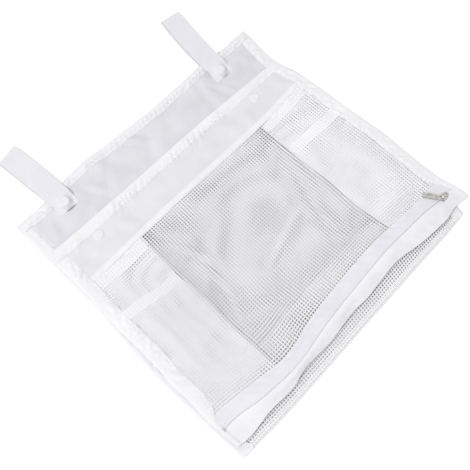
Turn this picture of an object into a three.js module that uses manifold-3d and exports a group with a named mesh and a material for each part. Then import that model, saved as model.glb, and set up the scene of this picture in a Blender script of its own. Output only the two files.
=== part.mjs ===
// Hanging net bag for bath toys, laid flat with its side and bottom gussets folded in.
// Millimetres, +Z up. +X runs along the zip, +Y from the foot of the bag to its hanging loops.
// The origin is on the surface that the bag lies on, under the middle of its outline.

import * as THREE from "three";
import { mergeVertices } from "three/addons/utils/BufferGeometryUtils.js";
import Module from "manifold-3d";

const wasm = await Module();
wasm.setup();

// Driving sizes: the outline, seen from above
const BAG_WIDTH = 356;
const BACK_HEIGHT = 343;
const MOUTH_DROP = 60; // the front's top edge lies this far below the back's
const BAND_HEIGHT = 48; // opaque cloth at the top of the front
const GUSSET_DEPTH = 83; // half the bag's real depth, folded in at each side
const FOOT_FOLD = 67; // the bottom gusset's inner fold, from the back's lower edge
const ZIP_LINE = 30; // the zip chain, from the back's lower edge
const LOOP_RISE = 70; // how far a hanging loop stands above the back's top edge
const LOOP_INSET = 58; // a loop's middle, from the bag's side edge
const LOOP_REACH = 31; // how far a loop's free end hangs below the back's top edge
const LOOP_SNAP_DROP = 22; // a loop's snap, below the back's top edge
const MOUTH_SNAP_DROP = 18; // a mouth snap, below the front's top edge

// Cloth, net and tape
const CLOTH = 0.5;
const NET = 0.5;
const WEBBING = 0.8;
const WEBBING_WIDTH = 26;
const HEM_WALL = 0.5;
const SIDE_HEM_WIDTH = 14;
const ZIP_SEAM_WIDTH = 5; // the narrow binding round each end of the zip
const TOP_HEM_WIDTH = 11;
const FOOT_SEAM_WIDTH = 6;
const NET_PITCH = 18; // the net's coarse stand-in mesh
const NET_STRAND = 6;
const SEAM_GAP = 0.3; // between pieces that are sewn together
const CUT_OVERRUN = 5;

// Gussets: trims measured down from the front band's lower edge, and the fold at the mouth
const GUSSET_HEM_WIDTH = 12;
const GUSSET_TAPE_DROP = 46;
const GUSSET_TAPE_WIDTH = 12;
const FOLD_OPENING = 1.0; // between the two layers at a gusset's inner fold
const MOUTH_FOLD_MARGIN = 4; // between the fold at the mouth and the mouth snap

// Heights above the surface
const MOUTH_CAVITY = 6.0; // between the back and the front at the mouth
const FOOT_RISE = 5; // how much higher the front lies at the zip

// Press snaps
const SNAP_FACETS = 20;
const SNAP_CAP_RADIUS = 6.2;
const SNAP_CAP_HEIGHT = 1.1;
const SNAP_CAP_RIM = 0.5;
const SNAP_DOME_SHARE = 2 / 3; // the flat top's part of the cap's radius
const SNAP_BODY_RADIUS = 5.2;
const SNAP_POST_RADIUS = 1.3;
const SNAP_FLANGE = 1.2;
const STUD_HEAD_RADIUS = 2.2;
const STUD_NECK_RADIUS = 1.8;
const STUD_HEAD_HEIGHT = 2.4;
const STUD_HEAD_BAND = 0.7; // the thick part of the stud's head
const SOCKET_LIP = 0.6;
const SOCKET_CLEARANCE = 0.5;
const SOCKET_TOP = 1.1; // the socket's closed end, under the cloth

// Zip
const TAPE = 0.5;
const TAPE_HALF_WIDTH = 15.5;
const CHAIN_GAP = 1.2; // between the two tapes, where the slider's post runs
const COIL_WIDTH = 2.0;
const COIL_HEIGHT = 1.3;
const COIL_PITCH = 3.2;
const COIL_TOOTH = 0.7; // how deep each tooth is cut
const SLIDER_LENGTH = 9.5;
const SLIDER_WIDTH = 7.6;
const SLIDER_NOSE_WIDTH = 5.8;
const SLIDER_TOP = 1.1;
const SLIDER_BOTTOM = 1.0;
const SLIDER_TAPER_SHARE = 1 / 3; // where the taper starts, as part of half the length
const SLIDER_POST_LENGTH = 2.4;
const SLIDER_POST_SET = 2.8; // the post, forward of the slider's middle
const CROWN_SPAN = 5.2; // between the middles of the crown's legs
const CROWN_WIRE = 1.4;
const CROWN_HEADROOM = 1.6;
const STOP_LENGTH = 1.4;
const STOP_WIDTH = 4.4;
const STOP_HEIGHT = 1.0;
const END_CLEARANCE = 0.4;

// Pull tab
const TAB_THICKNESS = 0.9;
const TAB_WIDTH = 6.0;
const TAB_LENGTH = 24;
const TAB_EYE_LENGTH = 5.0;
const TAB_EYE_WIDTH = 2.8;
const TAB_BAR = 1.4;
const TAB_CORNER = 1.2;
const TAB_PANEL_INSET = 1.3;
const TAB_PANEL_DEPTH = 0.25;
const TAB_ANGLE = THREE.MathUtils.degToRad(124); // in plan, from +X

// Places worked out from the sizes
const HALF_WIDTH = BAG_WIDTH / 2;
const LOOP_SPREAD = HALF_WIDTH - LOOP_INSET; // a loop's middle, from the bag's middle
const FRONT_TOP = BACK_HEIGHT - MOUTH_DROP;
const BAND_LINE = FRONT_TOP - BAND_HEIGHT;
const ZIP_TOP = ZIP_LINE + TAPE_HALF_WIDTH;
const ZIP_FOOT = ZIP_LINE - TAPE_HALF_WIDTH;
const HEM_INNER = HALF_WIDTH - SIDE_HEM_WIDTH;
const PANEL_HALF = HALF_WIDTH - HEM_WALL - SEAM_GAP;
const BACK_UNDER = SNAP_CAP_HEIGHT + SEAM_GAP;
const BACK_OVER = BACK_UNDER + CLOTH;
const FRONT_UNDER = BACK_OVER + MOUTH_CAVITY;
const FRONT_OVER = FRONT_UNDER + CLOTH;
const HEM_OVER = FRONT_OVER + SEAM_GAP + HEM_WALL;
const BACK_LAYER = BACK_OVER + SEAM_GAP + NET / 2; // middle of the gusset's back layer
const FRONT_LAYER = FRONT_UNDER - SEAM_GAP - NET / 2; // middle of its front layer, at the mouth
const FRONT_SLOT = FRONT_LAYER - NET / 2 - SEAM_GAP; // underside of a front side hem's slot
const FOOT_UNDER = FRONT_UNDER + FOOT_RISE;
const FOOT_OVER = FOOT_UNDER + TAPE;
const TOTAL_LENGTH = BACK_HEIGHT + LOOP_RISE;
const HALF_GAP = SEAM_GAP / 2;

// How much higher than at the mouth the front lies, at a distance from the foot.
function rise(y) {
  const share = (BAND_LINE - y) / (BAND_LINE - ZIP_TOP);
  return FOOT_RISE * THREE.MathUtils.clamp(share, 0, 1);
}

const material = (color, roughness, metalness = 0) =>
  new THREE.MeshStandardMaterial({ color, roughness, metalness });
const clothWhite = material(0xf0f0f4, 0.75);
const hemWhite = material(0xf5f5f9, 0.8);
const netWhite = material(0xe6e7ea, 0.6);
const webbingWhite = material(0xf2f1f5, 0.8);
const tapeWhite = material(0xf0f0f5, 0.85);
const nylonWhite = material(0xe9eaee, 0.45);
const snapWhite = material(0xf6f6f4, 0.3);
const nickel = material(0xb4b0a8, 0.28, 1);

const SIDES = [
  [-1, "left"],
  [1, "right"],
];

const bag = new THREE.Group();
bag.position.y = -TOTAL_LENGTH / 2;

function add(name, geometry, finish) {
  geometry.computeVertexNormals();
  const mesh = new THREE.Mesh(geometry, finish);
  mesh.name = name;
  bag.add(mesh);
  return mesh;
}

// Turns a closed geometry into a solid that can be cut and joined.
function solid(geometry) {
  const bare = geometry.clone();
  bare.deleteAttribute("normal");
  bare.deleteAttribute("uv");
  const merged = mergeVertices(bare);
  return new wasm.Manifold(
    new wasm.Mesh({
      numProp: 3,
      vertProperties: new Float32Array(merged.attributes.position.array),
      triVerts: new Uint32Array(merged.index.array),
    }),
  );
}

function geometryOf(body) {
  const made = body.getMesh();
  const geometry = new THREE.BufferGeometry();
  geometry.setAttribute("position", new THREE.BufferAttribute(made.vertProperties, 3));
  geometry.setIndex(new THREE.BufferAttribute(made.triVerts, 1));
  return geometry.toNonIndexed();
}

const cut = (body, tools) => tools.reduce((left, tool) => left.subtract(tool), body);
const join = (bodies) => bodies.reduce((left, body) => left.add(body));

// A closed solid through stations of one outline. place(point, station) gives the point in space.
function loft(outline, stations, place) {
  const flat = outline.map(([u, v]) => new THREE.Vector2(u, v));
  const ring = THREE.ShapeUtils.isClockWise(flat) ? [...outline].reverse() : outline;
  const count = ring.length;
  const points = stations.flatMap((station) => ring.map((point) => place(point, station)));
  const faces = [];
  for (let s = 0; s + 1 < stations.length; s++) {
    for (let i = 0; i < count; i++) {
      const j = (i + 1) % count;
      const [a, b, farA, farB] = [i, j, count + i, count + j].map((index) => s * count + index);
      // The diagonal runs the same way on both faces of a thin sheet, which keeps its thickness.
      const sameWay = ring[i][0] <= ring[j][0];
      faces.push(...(sameWay ? [[a, b, farB], [a, farB, farA]] : [[a, b, farA], [b, farB, farA]]));
    }
  }
  const contour = ring.map(([u, v]) => new THREE.Vector2(u, v));
  const last = (stations.length - 1) * count;
  for (const [a, b, c] of THREE.ShapeUtils.triangulateShape(contour, [])) {
    faces.push([c, b, a], [last + a, last + b, last + c]);
  }
  const volume = faces.reduce((sum, [a, b, c]) => {
    const across = new THREE.Vector3().crossVectors(points[b], points[c]);
    return sum + points[a].dot(across);
  }, 0);
  const turned = volume < 0 ? faces.map(([a, b, c]) => [a, c, b]) : faces;
  const corners = turned.flatMap((face) => face.map((i) => points[i]));
  return new THREE.BufferGeometry().setFromPoints(corners);
}

function box(low, high) {
  const size = high.map((value, i) => value - low[i]);
  const middle = high.map((value, i) => (value + low[i]) / 2);
  return new THREE.BoxGeometry(...size).translate(...middle);
}

// A round rod or hole cutter that stands along +Z on a point.
function rod(x, y, low, high, radius) {
  const made = new THREE.CylinderGeometry(radius, radius, high - low, SNAP_FACETS);
  return made.rotateX(Math.PI / 2).translate(x, y, (low + high) / 2);
}

const postHole = (x, y, low, high) =>
  solid(rod(x, y, low - CUT_OVERRUN, high + CUT_OVERRUN, SNAP_POST_RADIUS + SEAM_GAP));

// Starts and ends of the gaps that divide a length into meshes of about one pitch.
function meshSteps(from, to) {
  const count = Math.max(1, Math.floor((to - from) / NET_PITCH));
  const pitch = (to - from) / count;
  return Array.from({ length: count }, (_, i) => {
    const start = from + i * pitch;
    return [start + NET_STRAND / 2, start + pitch - NET_STRAND / 2];
  });
}

// Cutters for a net's gaps, tall enough for both layers of a folded gusset.
function meshGaps(acrossSteps, alongSteps) {
  return acrossSteps.flatMap(([left, right]) =>
    alongSteps.map(([low, high]) => solid(box([left, low, -CUT_OVERRUN], [right, high, FOOT_OVER]))),
  );
}

// A flat net: a sheet with a grid of square gaps inside an edge that the hems grip.
function netSheet(halfWidth, bottom, top, edges) {
  const sheet = solid(box([-halfWidth, bottom, 0], [halfWidth, top, NET]));
  const across = meshSteps(-halfWidth + edges.side, halfWidth - edges.side);
  const along = meshSteps(bottom + edges.bottom, top - edges.top);
  return geometryOf(cut(sheet, meshGaps(across, along)));
}

// The section of a hem: tape folded round an edge. The first number is the distance in from the fold.
function hemSection(width, low, slotLow, slotHigh, high) {
  return [
    [0, low],
    [width, low],
    [width, slotLow],
    [HEM_WALL, slotLow],
    [HEM_WALL, slotHigh],
    [width, slotHigh],
    [width, high],
    [0, high],
  ];
}

const frontHemSection = (width, slotLow) =>
  hemSection(width, slotLow - HEM_WALL, slotLow, FRONT_OVER + SEAM_GAP, HEM_OVER);

const sideHem = (section, side, stations) =>
  loft(section, stations, ([inward, z], y) =>
    new THREE.Vector3(side * (HALF_WIDTH - inward), y, z + rise(y)),
  );

const crossHem = (section, edge, inwardSign, from, to) =>
  loft(section, [from, to], ([inward, z], x) =>
    new THREE.Vector3(x, edge + inwardSign * inward, z),
  );

// Back panel: cloth above, net below, hems round the edge
function buildBack() {
  const top = BACK_HEIGHT - HEM_WALL - SEAM_GAP;
  const holes = snapPlaces().map(({ x, y }) => postHole(x, y, BACK_UNDER, BACK_OVER));
  const band = solid(
    box([-PANEL_HALF, BAND_LINE + HALF_GAP, BACK_UNDER], [PANEL_HALF, top, BACK_OVER]),
  );
  add("back_band", geometryOf(cut(band, holes)), clothWhite);

  const net = netSheet(PANEL_HALF, HEM_WALL + SEAM_GAP, BAND_LINE - HALF_GAP, {
    side: SIDE_HEM_WIDTH,
    bottom: FOOT_SEAM_WIDTH,
    top: NET_STRAND / 2,
  });
  add("back_net", net.translate(0, 0, BACK_UNDER), netWhite);

  const layered = BACK_OVER + SEAM_GAP + NET + SEAM_GAP;
  const sideSection = hemSection(
    SIDE_HEM_WIDTH,
    0,
    SNAP_CAP_HEIGHT,
    layered,
    layered + HEM_WALL,
  );
  const sideTop = BACK_HEIGHT - TOP_HEM_WIDTH - SEAM_GAP;
  const flat = (section, side) =>
    loft(section, [0, sideTop], ([inward, z], y) =>
      new THREE.Vector3(side * (HALF_WIDTH - inward), y, z),
    );
  for (const [side, word] of SIDES) add(`back_${word}_hem`, flat(sideSection, side), hemWhite);

  const seamSection = hemSection(
    FOOT_SEAM_WIDTH,
    0,
    SNAP_CAP_HEIGHT,
    layered,
    layered + HEM_WALL,
  );
  const seamHalf = HEM_INNER - SEAM_GAP;
  add("back_bottom_seam", crossHem(seamSection, 0, 1, -seamHalf, seamHalf), netWhite);

  const slotHigh = STRAP_LOW + WEBBING + SEAM_GAP;
  const topSection = hemSection(
    TOP_HEM_WIDTH,
    0,
    SNAP_CAP_HEIGHT,
    slotHigh,
    slotHigh + HEM_WALL,
  );
  const topHem = solid(crossHem(topSection, BACK_HEIGHT, -1, -HALF_WIDTH, HALF_WIDTH));
  const slits = SIDES.map(([side]) => {
    const reach = WEBBING_WIDTH / 2 + SEAM_GAP;
    return solid(
      box(
        [side * LOOP_SPREAD - reach, BACK_HEIGHT - HEM_WALL - SEAM_GAP, STRAP_LOW - SEAM_GAP],
        [side * LOOP_SPREAD + reach, BACK_HEIGHT + CUT_OVERRUN, slotHigh],
      ),
    );
  });
  add("back_top_hem", geometryOf(cut(topHem, slits)), hemWhite);
}

// Front band: the mouth flap, which lifts along its lower edge
function buildMouthFlap() {
  const bottom = BAND_LINE + HALF_GAP;
  const top = FRONT_TOP - HEM_WALL - SEAM_GAP;
  const holes = SIDES.map(([side]) =>
    postHole(side * LOOP_SPREAD, FRONT_TOP - MOUTH_SNAP_DROP, FRONT_UNDER, FRONT_OVER),
  );
  const band = solid(
    box([-PANEL_HALF, bottom, FRONT_UNDER], [PANEL_HALF, top, FRONT_OVER]),
  );
  add("front_band", geometryOf(cut(band, holes)), clothWhite);

  const sideTop = FRONT_TOP - TOP_HEM_WIDTH - SEAM_GAP;
  const sideSection = frontHemSection(SIDE_HEM_WIDTH, FRONT_SLOT);
  for (const [side, word] of SIDES) {
    add(`front_band_${word}_hem`, sideHem(sideSection, side, [bottom, sideTop]), hemWhite);
  }
  const topSection = frontHemSection(TOP_HEM_WIDTH, FRONT_UNDER - SEAM_GAP);
  const topHem = crossHem(topSection, FRONT_TOP, -1, -HALF_WIDTH, HALF_WIDTH);
  add("front_top_hem", topHem, hemWhite);
}

// Front net, which slopes up from the mouth flap to the zip, and the hems that join it to the gussets
function buildFront() {
  const bottom = ZIP_TOP + SEAM_GAP;
  const top = BAND_LINE - HALF_GAP;
  const slope = Math.atan2(rise(bottom) - rise(top), top - bottom);
  const net = netSheet(PANEL_HALF, -Math.hypot(top - bottom, rise(bottom) - rise(top)), 0, {
    side: SIDE_HEM_WIDTH,
    bottom: NET_STRAND / 2,
    top: NET_STRAND / 2,
  });
  const panel = add("front_net", net, netWhite);
  panel.rotation.x = -slope;
  panel.position.set(0, top, FRONT_UNDER);

  const section = frontHemSection(SIDE_HEM_WIDTH, FRONT_SLOT);
  for (const [side, word] of SIDES) {
    add(`front_${word}_hem`, sideHem(section, side, [bottom, top]), hemWhite);
  }
}

// The closed outline of a folded gusset at one station: out along its front layer, back along the other.
function foldOutline(outer, grip, fold, front, back) {
  const half = NET / 2;
  const middle = (front + back) / 2;
  const upper = middle + FOLD_OPENING / 2;
  const lower = middle - FOLD_OPENING / 2;
  return [
    [outer, front + half],
    [grip, front + half],
    [fold, upper + half],
    [fold, lower - half],
    [grip, back - half],
    [outer, back - half],
    [outer, back + half],
    [grip, back + half],
    [fold - NET, lower + half],
    [fold - NET, upper - half],
    [grip, front - half],
    [outer, front - half],
  ];
}

// One side gusset piece between two distances from the foot.
function sideGusset(side, from, to) {
  const outer = HEM_WALL + SEAM_GAP;
  const place = (y) =>
    foldOutline(outer, SIDE_HEM_WIDTH, GUSSET_DEPTH, FRONT_LAYER + rise(y), BACK_LAYER).map(
      ([inward, z]) => new THREE.Vector3(side * (HALF_WIDTH - inward), y, z),
    );
  const outline = foldOutline(outer, SIDE_HEM_WIDTH, GUSSET_DEPTH, FRONT_LAYER, BACK_LAYER);
  const indexed = outline.map(([u, v], i) => [u, v, i]);
  return loft(indexed, [place(from), place(to)], ([, , i], points) => points[i]);
}

// One layer of a gusset's cloth band beside the mouth, from the hem in to the fold.
function mouthLeaf(side, layer, fold) {
  const half = CLOTH / 2;
  const depth = LOOP_INSET - SNAP_CAP_RADIUS - MOUTH_FOLD_MARGIN;
  const outline = [
    [HEM_WALL + SEAM_GAP, layer - half],
    [SIDE_HEM_WIDTH, layer - half],
    [depth, fold - half],
    [depth, fold + half],
    [SIDE_HEM_WIDTH, layer + half],
    [HEM_WALL + SEAM_GAP, layer + half],
  ];
  const ends = [BAND_LINE + HALF_GAP, FRONT_TOP - TOP_HEM_WIDTH - SEAM_GAP];
  return loft(outline, ends, ([inward, z], y) =>
    new THREE.Vector3(side * (HALF_WIDTH - inward), y, z),
  );
}

function buildMouthGusset(side, word) {
  const middle = (FRONT_LAYER + BACK_LAYER) / 2;
  const front = mouthLeaf(side, FRONT_LAYER, middle + FOLD_OPENING / 2);
  const back = mouthLeaf(side, BACK_LAYER, middle - FOLD_OPENING / 2);
  add(`${word}_gusset_front_band`, front, clothWhite);
  add(`${word}_gusset_back_band`, back, clothWhite);
}

function buildSideGusset(side, word) {
  const hemLow = BAND_LINE - GUSSET_HEM_WIDTH;
  const tapeHigh = BAND_LINE - GUSSET_TAPE_DROP;
  const tapeLow = tapeHigh - GUSSET_TAPE_WIDTH;
  const bottom = ZIP_TOP + SEAM_GAP;
  const gapsAcross = meshSteps(SIDE_HEM_WIDTH, GUSSET_DEPTH - NET_STRAND / 2).map(([a, b]) =>
    [side * (HALF_WIDTH - a), side * (HALF_WIDTH - b)].sort((p, q) => p - q),
  );
  const pierced = (from, to) =>
    geometryOf(cut(solid(sideGusset(side, from, to)), meshGaps(gapsAcross, meshSteps(from, to))));

  const hem = sideGusset(side, hemLow, BAND_LINE - HALF_GAP);
  add(`${word}_gusset_band_hem`, hem, hemWhite);
  add(`${word}_gusset_upper_net`, pierced(tapeHigh + SEAM_GAP, hemLow - SEAM_GAP), netWhite);
  add(`${word}_gusset_tape`, sideGusset(side, tapeLow, tapeHigh), hemWhite);
  add(`${word}_gusset_lower_net`, pierced(bottom, tapeLow - SEAM_GAP), netWhite);
}

// Bottom gusset: from the lower zip tape, under the zip, to its fold, and back to the foot seam
function buildBottomGusset() {
  const half = NET / 2;
  const front = FOOT_UNDER - SEAM_GAP - half;
  const under = SLIDER_LOW - SEAM_GAP - half;
  const middle = (front + BACK_LAYER) / 2;
  const upper = middle + FOLD_OPENING / 2;
  const lower = middle - FOLD_OPENING / 2;
  const grip = ZIP_LINE - SLIDER_WIDTH / 2 - CUT_OVERRUN;
  const dip = ZIP_LINE - SLIDER_WIDTH / 2 - SEAM_GAP;
  const outline = [
    [ZIP_FOOT, front + half],
    [grip, front + half],
    [dip, under + half],
    [FOOT_FOLD, upper + half],
    [FOOT_FOLD, lower - half],
    [FOOT_SEAM_WIDTH, BACK_LAYER - half],
    [HEM_WALL + SEAM_GAP, BACK_LAYER - half],
    [HEM_WALL + SEAM_GAP, BACK_LAYER + half],
    [FOOT_SEAM_WIDTH, BACK_LAYER + half],
    [FOOT_FOLD - NET, lower + half],
    [FOOT_FOLD - NET, upper - half],
    [dip - half, under - half],
    [grip - half, front - half],
    [ZIP_FOOT, front - half],
  ];
  const reach = HEM_INNER - SEAM_GAP;
  const sheet = loft(outline, [-reach, reach], ([y, z], x) => new THREE.Vector3(x, y, z));
  const middleHalf = HALF_WIDTH - GUSSET_DEPTH - SEAM_GAP;
  const rows = meshSteps(dip + NET_STRAND, FOOT_FOLD - NET_STRAND / 2);
  const gaps = meshGaps(meshSteps(-middleHalf, middleHalf), rows);
  const corners = SIDES.map(([side]) => {
    const ends = [side * middleHalf, side * (reach + CUT_OVERRUN)].sort((a, b) => a - b);
    return solid(box([ends[0], ZIP_TOP, -CUT_OVERRUN], [ends[1], FOOT_FOLD + CUT_OVERRUN, FOOT_OVER]));
  });
  const made = cut(cut(solid(sheet), gaps), corners);
  add("bottom_gusset_net", geometryOf(made), netWhite);
}

// Zip: two tapes, a coil under each tape's edge, and a stop at each end
const TAPE_EDGE = CHAIN_GAP / 2;
const COIL_HIGH = FOOT_UNDER - SEAM_GAP;
const COIL_LOW = COIL_HIGH - COIL_HEIGHT;
const SLIDER_LOW = COIL_LOW - SEAM_GAP - SLIDER_BOTTOM;
const CHAIN_END = HALF_WIDTH - ZIP_SEAM_WIDTH - END_CLEARANCE;
const STOP_INNER = CHAIN_END - STOP_LENGTH;
const SLIDER_REST = STOP_INNER - END_CLEARANCE - SLIDER_LENGTH / 2;

function zipTape(side) {
  const edges = [ZIP_LINE + side * TAPE_EDGE, ZIP_LINE + side * TAPE_HALF_WIDTH].sort(
    (a, b) => a - b,
  );
  return box([-PANEL_HALF, edges[0], FOOT_UNDER], [PANEL_HALF, edges[1], FOOT_OVER]);
}

// A coil seen from above: straight along the tape, toothed along the chain's middle line.
function zipCoil(side) {
  const inner = ZIP_LINE + side * TAPE_EDGE;
  const outer = inner + side * COIL_WIDTH;
  const count = Math.floor((2 * CHAIN_END) / COIL_PITCH);
  const pitch = (2 * CHAIN_END) / count;
  const outline = new THREE.Shape();
  outline.moveTo(-CHAIN_END, outer);
  outline.lineTo(-CHAIN_END, inner + side * COIL_TOOTH);
  for (let i = 0; i < count; i++) {
    const start = -CHAIN_END + i * pitch;
    outline.lineTo(start + pitch / 2, inner);
    outline.lineTo(start + pitch, inner + side * COIL_TOOTH);
  }
  outline.lineTo(CHAIN_END, outer);
  outline.closePath();
  const coil = new THREE.ExtrudeGeometry(outline, { depth: COIL_HEIGHT, bevelEnabled: false });
  return coil.translate(0, 0, COIL_LOW);
}

// A stop folded over the chain: a bar above the tapes and a web between their edges.
function zipStop(side) {
  const from = side * STOP_INNER;
  const to = side * CHAIN_END;
  const [low, high] = [Math.min(from, to), Math.max(from, to)];
  const web = TAPE_EDGE - SEAM_GAP;
  const barLow = FOOT_OVER + SEAM_GAP;
  const bar = box(
    [low, ZIP_LINE - STOP_WIDTH / 2, barLow],
    [high, ZIP_LINE + STOP_WIDTH / 2, barLow + STOP_HEIGHT],
  );
  const leg = box([low, ZIP_LINE - web, COIL_LOW], [high, ZIP_LINE + web, barLow + STOP_HEIGHT / 2]);
  return geometryOf(join([solid(bar), solid(leg)]));
}

// The binding that holds the tapes' ends and the corner of the bag at one end of the zip.
function zipSeam(side) {
  const slotLow = FOOT_UNDER - SEAM_GAP;
  const slotHigh = FOOT_OVER + SEAM_GAP;
  const section = hemSection(
    ZIP_SEAM_WIDTH,
    slotLow - HEM_WALL,
    slotLow,
    slotHigh,
    slotHigh + HEM_WALL,
  );
  return loft(section, [ZIP_FOOT, ZIP_TOP], ([inward, z], y) =>
    new THREE.Vector3(side * (HALF_WIDTH - inward), y, z),
  );
}

// The slider's plan: square at the tail, narrowed towards the nose.
function sliderPlan(width) {
  const half = width / 2;
  const nose = (SLIDER_NOSE_WIDTH / 2) * (width / SLIDER_WIDTH);
  const length = SLIDER_LENGTH / 2;
  const outline = new THREE.Shape();
  outline.moveTo(-length, -half);
  outline.lineTo(length * SLIDER_TAPER_SHARE, -half);
  outline.quadraticCurveTo(length, -half, length, -nose / 2);
  outline.lineTo(length, nose / 2);
  outline.quadraticCurveTo(length, half, length * SLIDER_TAPER_SHARE, half);
  outline.lineTo(-length, half);
  outline.closePath();
  return outline;
}

function slab(outline, low, high, curveSegments) {
  const made = new THREE.ExtrudeGeometry(outline, {
    depth: high - low,
    bevelEnabled: false,
    curveSegments,
  });
  return made.translate(0, 0, low);
}

const SLIDER_DECK = FOOT_OVER + SEAM_GAP + SLIDER_TOP;
const CROWN_UNDER = SLIDER_DECK + CROWN_HEADROOM;

function buildSlider() {
  const curveSegments = 6;
  const deck = solid(
    slab(sliderPlan(SLIDER_WIDTH), SLIDER_DECK - SLIDER_TOP, SLIDER_DECK, curveSegments),
  );
  const tray = solid(
    slab(sliderPlan(SLIDER_WIDTH), SLIDER_LOW, FOOT_UNDER - SEAM_GAP, curveSegments),
  );
  const channelHalf = TAPE_EDGE + COIL_WIDTH + SEAM_GAP;
  const channel = solid(
    box(
      [-SLIDER_LENGTH, -channelHalf, COIL_LOW - SEAM_GAP],
      [SLIDER_LENGTH, channelHalf, FOOT_OVER],
    ),
  );
  const post = solid(
    box(
      [SLIDER_POST_SET - SLIDER_POST_LENGTH / 2, SEAM_GAP - TAPE_EDGE, SLIDER_LOW],
      [SLIDER_POST_SET + SLIDER_POST_LENGTH / 2, TAPE_EDGE - SEAM_GAP, SLIDER_DECK],
    ),
  );
  const wire = CROWN_WIRE / 2;
  const legs = [-1, 1].map((end) =>
    solid(rod((end * CROWN_SPAN) / 2, 0, SLIDER_DECK - SLIDER_TOP / 2, CROWN_UNDER + wire, wire)),
  );
  const span = CROWN_SPAN / 2 + wire;
  const arch = new THREE.Shape();
  arch.moveTo(-span, 0);
  arch.lineTo(span, 0);
  arch.quadraticCurveTo(span, CROWN_WIRE, 0, CROWN_WIRE);
  arch.quadraticCurveTo(-span, CROWN_WIRE, -span, 0);
  const bridge = new THREE.ExtrudeGeometry(arch, {
    depth: CROWN_WIRE,
    bevelEnabled: false,
    curveSegments,
  })
    .rotateX(Math.PI / 2)
    .translate(0, wire, CROWN_UNDER);
  const made = join([deck, tray.subtract(channel), post, ...legs, solid(bridge)]);
  const slider = add("zip_slider", geometryOf(made), nickel);
  slider.position.set(SLIDER_REST, ZIP_LINE, 0);
}

// The pull tab lies on the slider's deck, with its eye round the crown's rear leg.
function buildPullTab() {
  const half = TAB_WIDTH / 2;
  const eye = TAB_EYE_WIDTH / 2;
  const tail = -TAB_BAR - eye;
  const tip = tail + TAB_LENGTH;
  const plan = (left, right, side, corner, Kind = THREE.Shape) => {
    const outline = new Kind();
    outline.moveTo(left + corner, -side);
    outline.lineTo(right - corner, -side);
    outline.quadraticCurveTo(right, -side, right, -side + corner);
    outline.lineTo(right, side - corner);
    outline.quadraticCurveTo(right, side, right - corner, side);
    outline.lineTo(left + corner, side);
    outline.quadraticCurveTo(left, side, left, side - corner);
    outline.lineTo(left, -side + corner);
    outline.quadraticCurveTo(left, -side, left + corner, -side);
    return outline;
  };
  const low = SLIDER_DECK + SEAM_GAP;
  const high = low + TAB_THICKNESS;
  const body = plan(tail, tip, half, TAB_CORNER);
  const eyeEnd = -eye + TAB_EYE_LENGTH;
  body.holes.push(plan(-eye, eyeEnd, eye, TAB_CORNER / 2, THREE.Path));
  const curveSegments = 4;
  const plate = solid(slab(body, low, high, curveSegments));
  const panel = plan(
    eyeEnd + TAB_PANEL_INSET,
    tip - TAB_PANEL_INSET,
    half - TAB_PANEL_INSET,
    TAB_CORNER / 2,
  );
  const recess = solid(slab(panel, high - TAB_PANEL_DEPTH, high + CUT_OVERRUN, curveSegments));
  const tab = add("zip_pull_tab", geometryOf(plate.subtract(recess)), nickel);
  tab.rotation.z = TAB_ANGLE;
  tab.position.set(SLIDER_REST - CROWN_SPAN / 2, ZIP_LINE, 0);
}

function buildZip() {
  add("upper_zip_tape", zipTape(1), tapeWhite);
  add("lower_zip_tape", zipTape(-1), tapeWhite);
  add("upper_zip_coil", zipCoil(1), nylonWhite);
  add("lower_zip_coil", zipCoil(-1), nylonWhite);
  for (const [side, word] of SIDES) {
    add(`zip_${word}_stop`, zipStop(side), nickel);
    add(`zip_${word}_seam`, zipSeam(side), hemWhite);
  }
  buildSlider();
  buildPullTab();
}

// Hanging loops: webbing caught in the top hem, folded over, with a free front leg that snaps down
const STRAP_LOW = BACK_OVER + SEAM_GAP;
const STRAP_HIGH = FRONT_UNDER + WEBBING;
const LOOP_RADIUS = (STRAP_HIGH - STRAP_LOW) / 2;
const LOOP_CENTRE = TOTAL_LENGTH - LOOP_RADIUS;

function buildLoop(side, word) {
  const x = side * LOOP_SPREAD;
  const caught = BACK_HEIGHT - TOP_HEM_WIDTH + SEAM_GAP;
  const middle = (STRAP_LOW + STRAP_HIGH) / 2;
  const inner = LOOP_RADIUS - WEBBING;
  const profile = new THREE.Shape();
  profile.moveTo(caught, STRAP_LOW);
  profile.lineTo(LOOP_CENTRE, STRAP_LOW);
  profile.absarc(LOOP_CENTRE, middle, LOOP_RADIUS, -Math.PI / 2, Math.PI / 2, false);
  profile.lineTo(LOOP_CENTRE, middle + inner);
  profile.absarc(LOOP_CENTRE, middle, inner, Math.PI / 2, -Math.PI / 2, true);
  profile.lineTo(caught, STRAP_LOW + WEBBING);
  profile.closePath();
  const curveSegments = 10;
  const outline = profile.extractPoints(curveSegments).shape.map((p) => [p.x, p.y]);
  const ends = [x - WEBBING_WIDTH / 2, x + WEBBING_WIDTH / 2];
  const strap = loft(outline, ends, ([y, z], at) => new THREE.Vector3(at, y, z));
  add(`${word}_loop_strap`, strap, webbingWhite);

  const leg = solid(
    box(
      [ends[0], BACK_HEIGHT - LOOP_REACH, FRONT_UNDER],
      [ends[1], LOOP_CENTRE - SEAM_GAP, STRAP_HIGH],
    ),
  );
  const hole = postHole(x, BACK_HEIGHT - LOOP_SNAP_DROP, FRONT_UNDER, STRAP_HIGH);
  add(`${word}_loop_flap`, geometryOf(leg.subtract(hole)), webbingWhite);
}

// Press snaps
function snapPlaces() {
  return SIDES.flatMap(([side, word]) => {
    return [
      {
        name: `${word}_loop`,
        x: side * LOOP_SPREAD,
        y: BACK_HEIGHT - LOOP_SNAP_DROP,
        sheet: WEBBING,
      },
      {
        name: `${word}_mouth`,
        x: side * LOOP_SPREAD,
        y: FRONT_TOP - MOUTH_SNAP_DROP,
        sheet: CLOTH,
      },
    ];
  });
}

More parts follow.
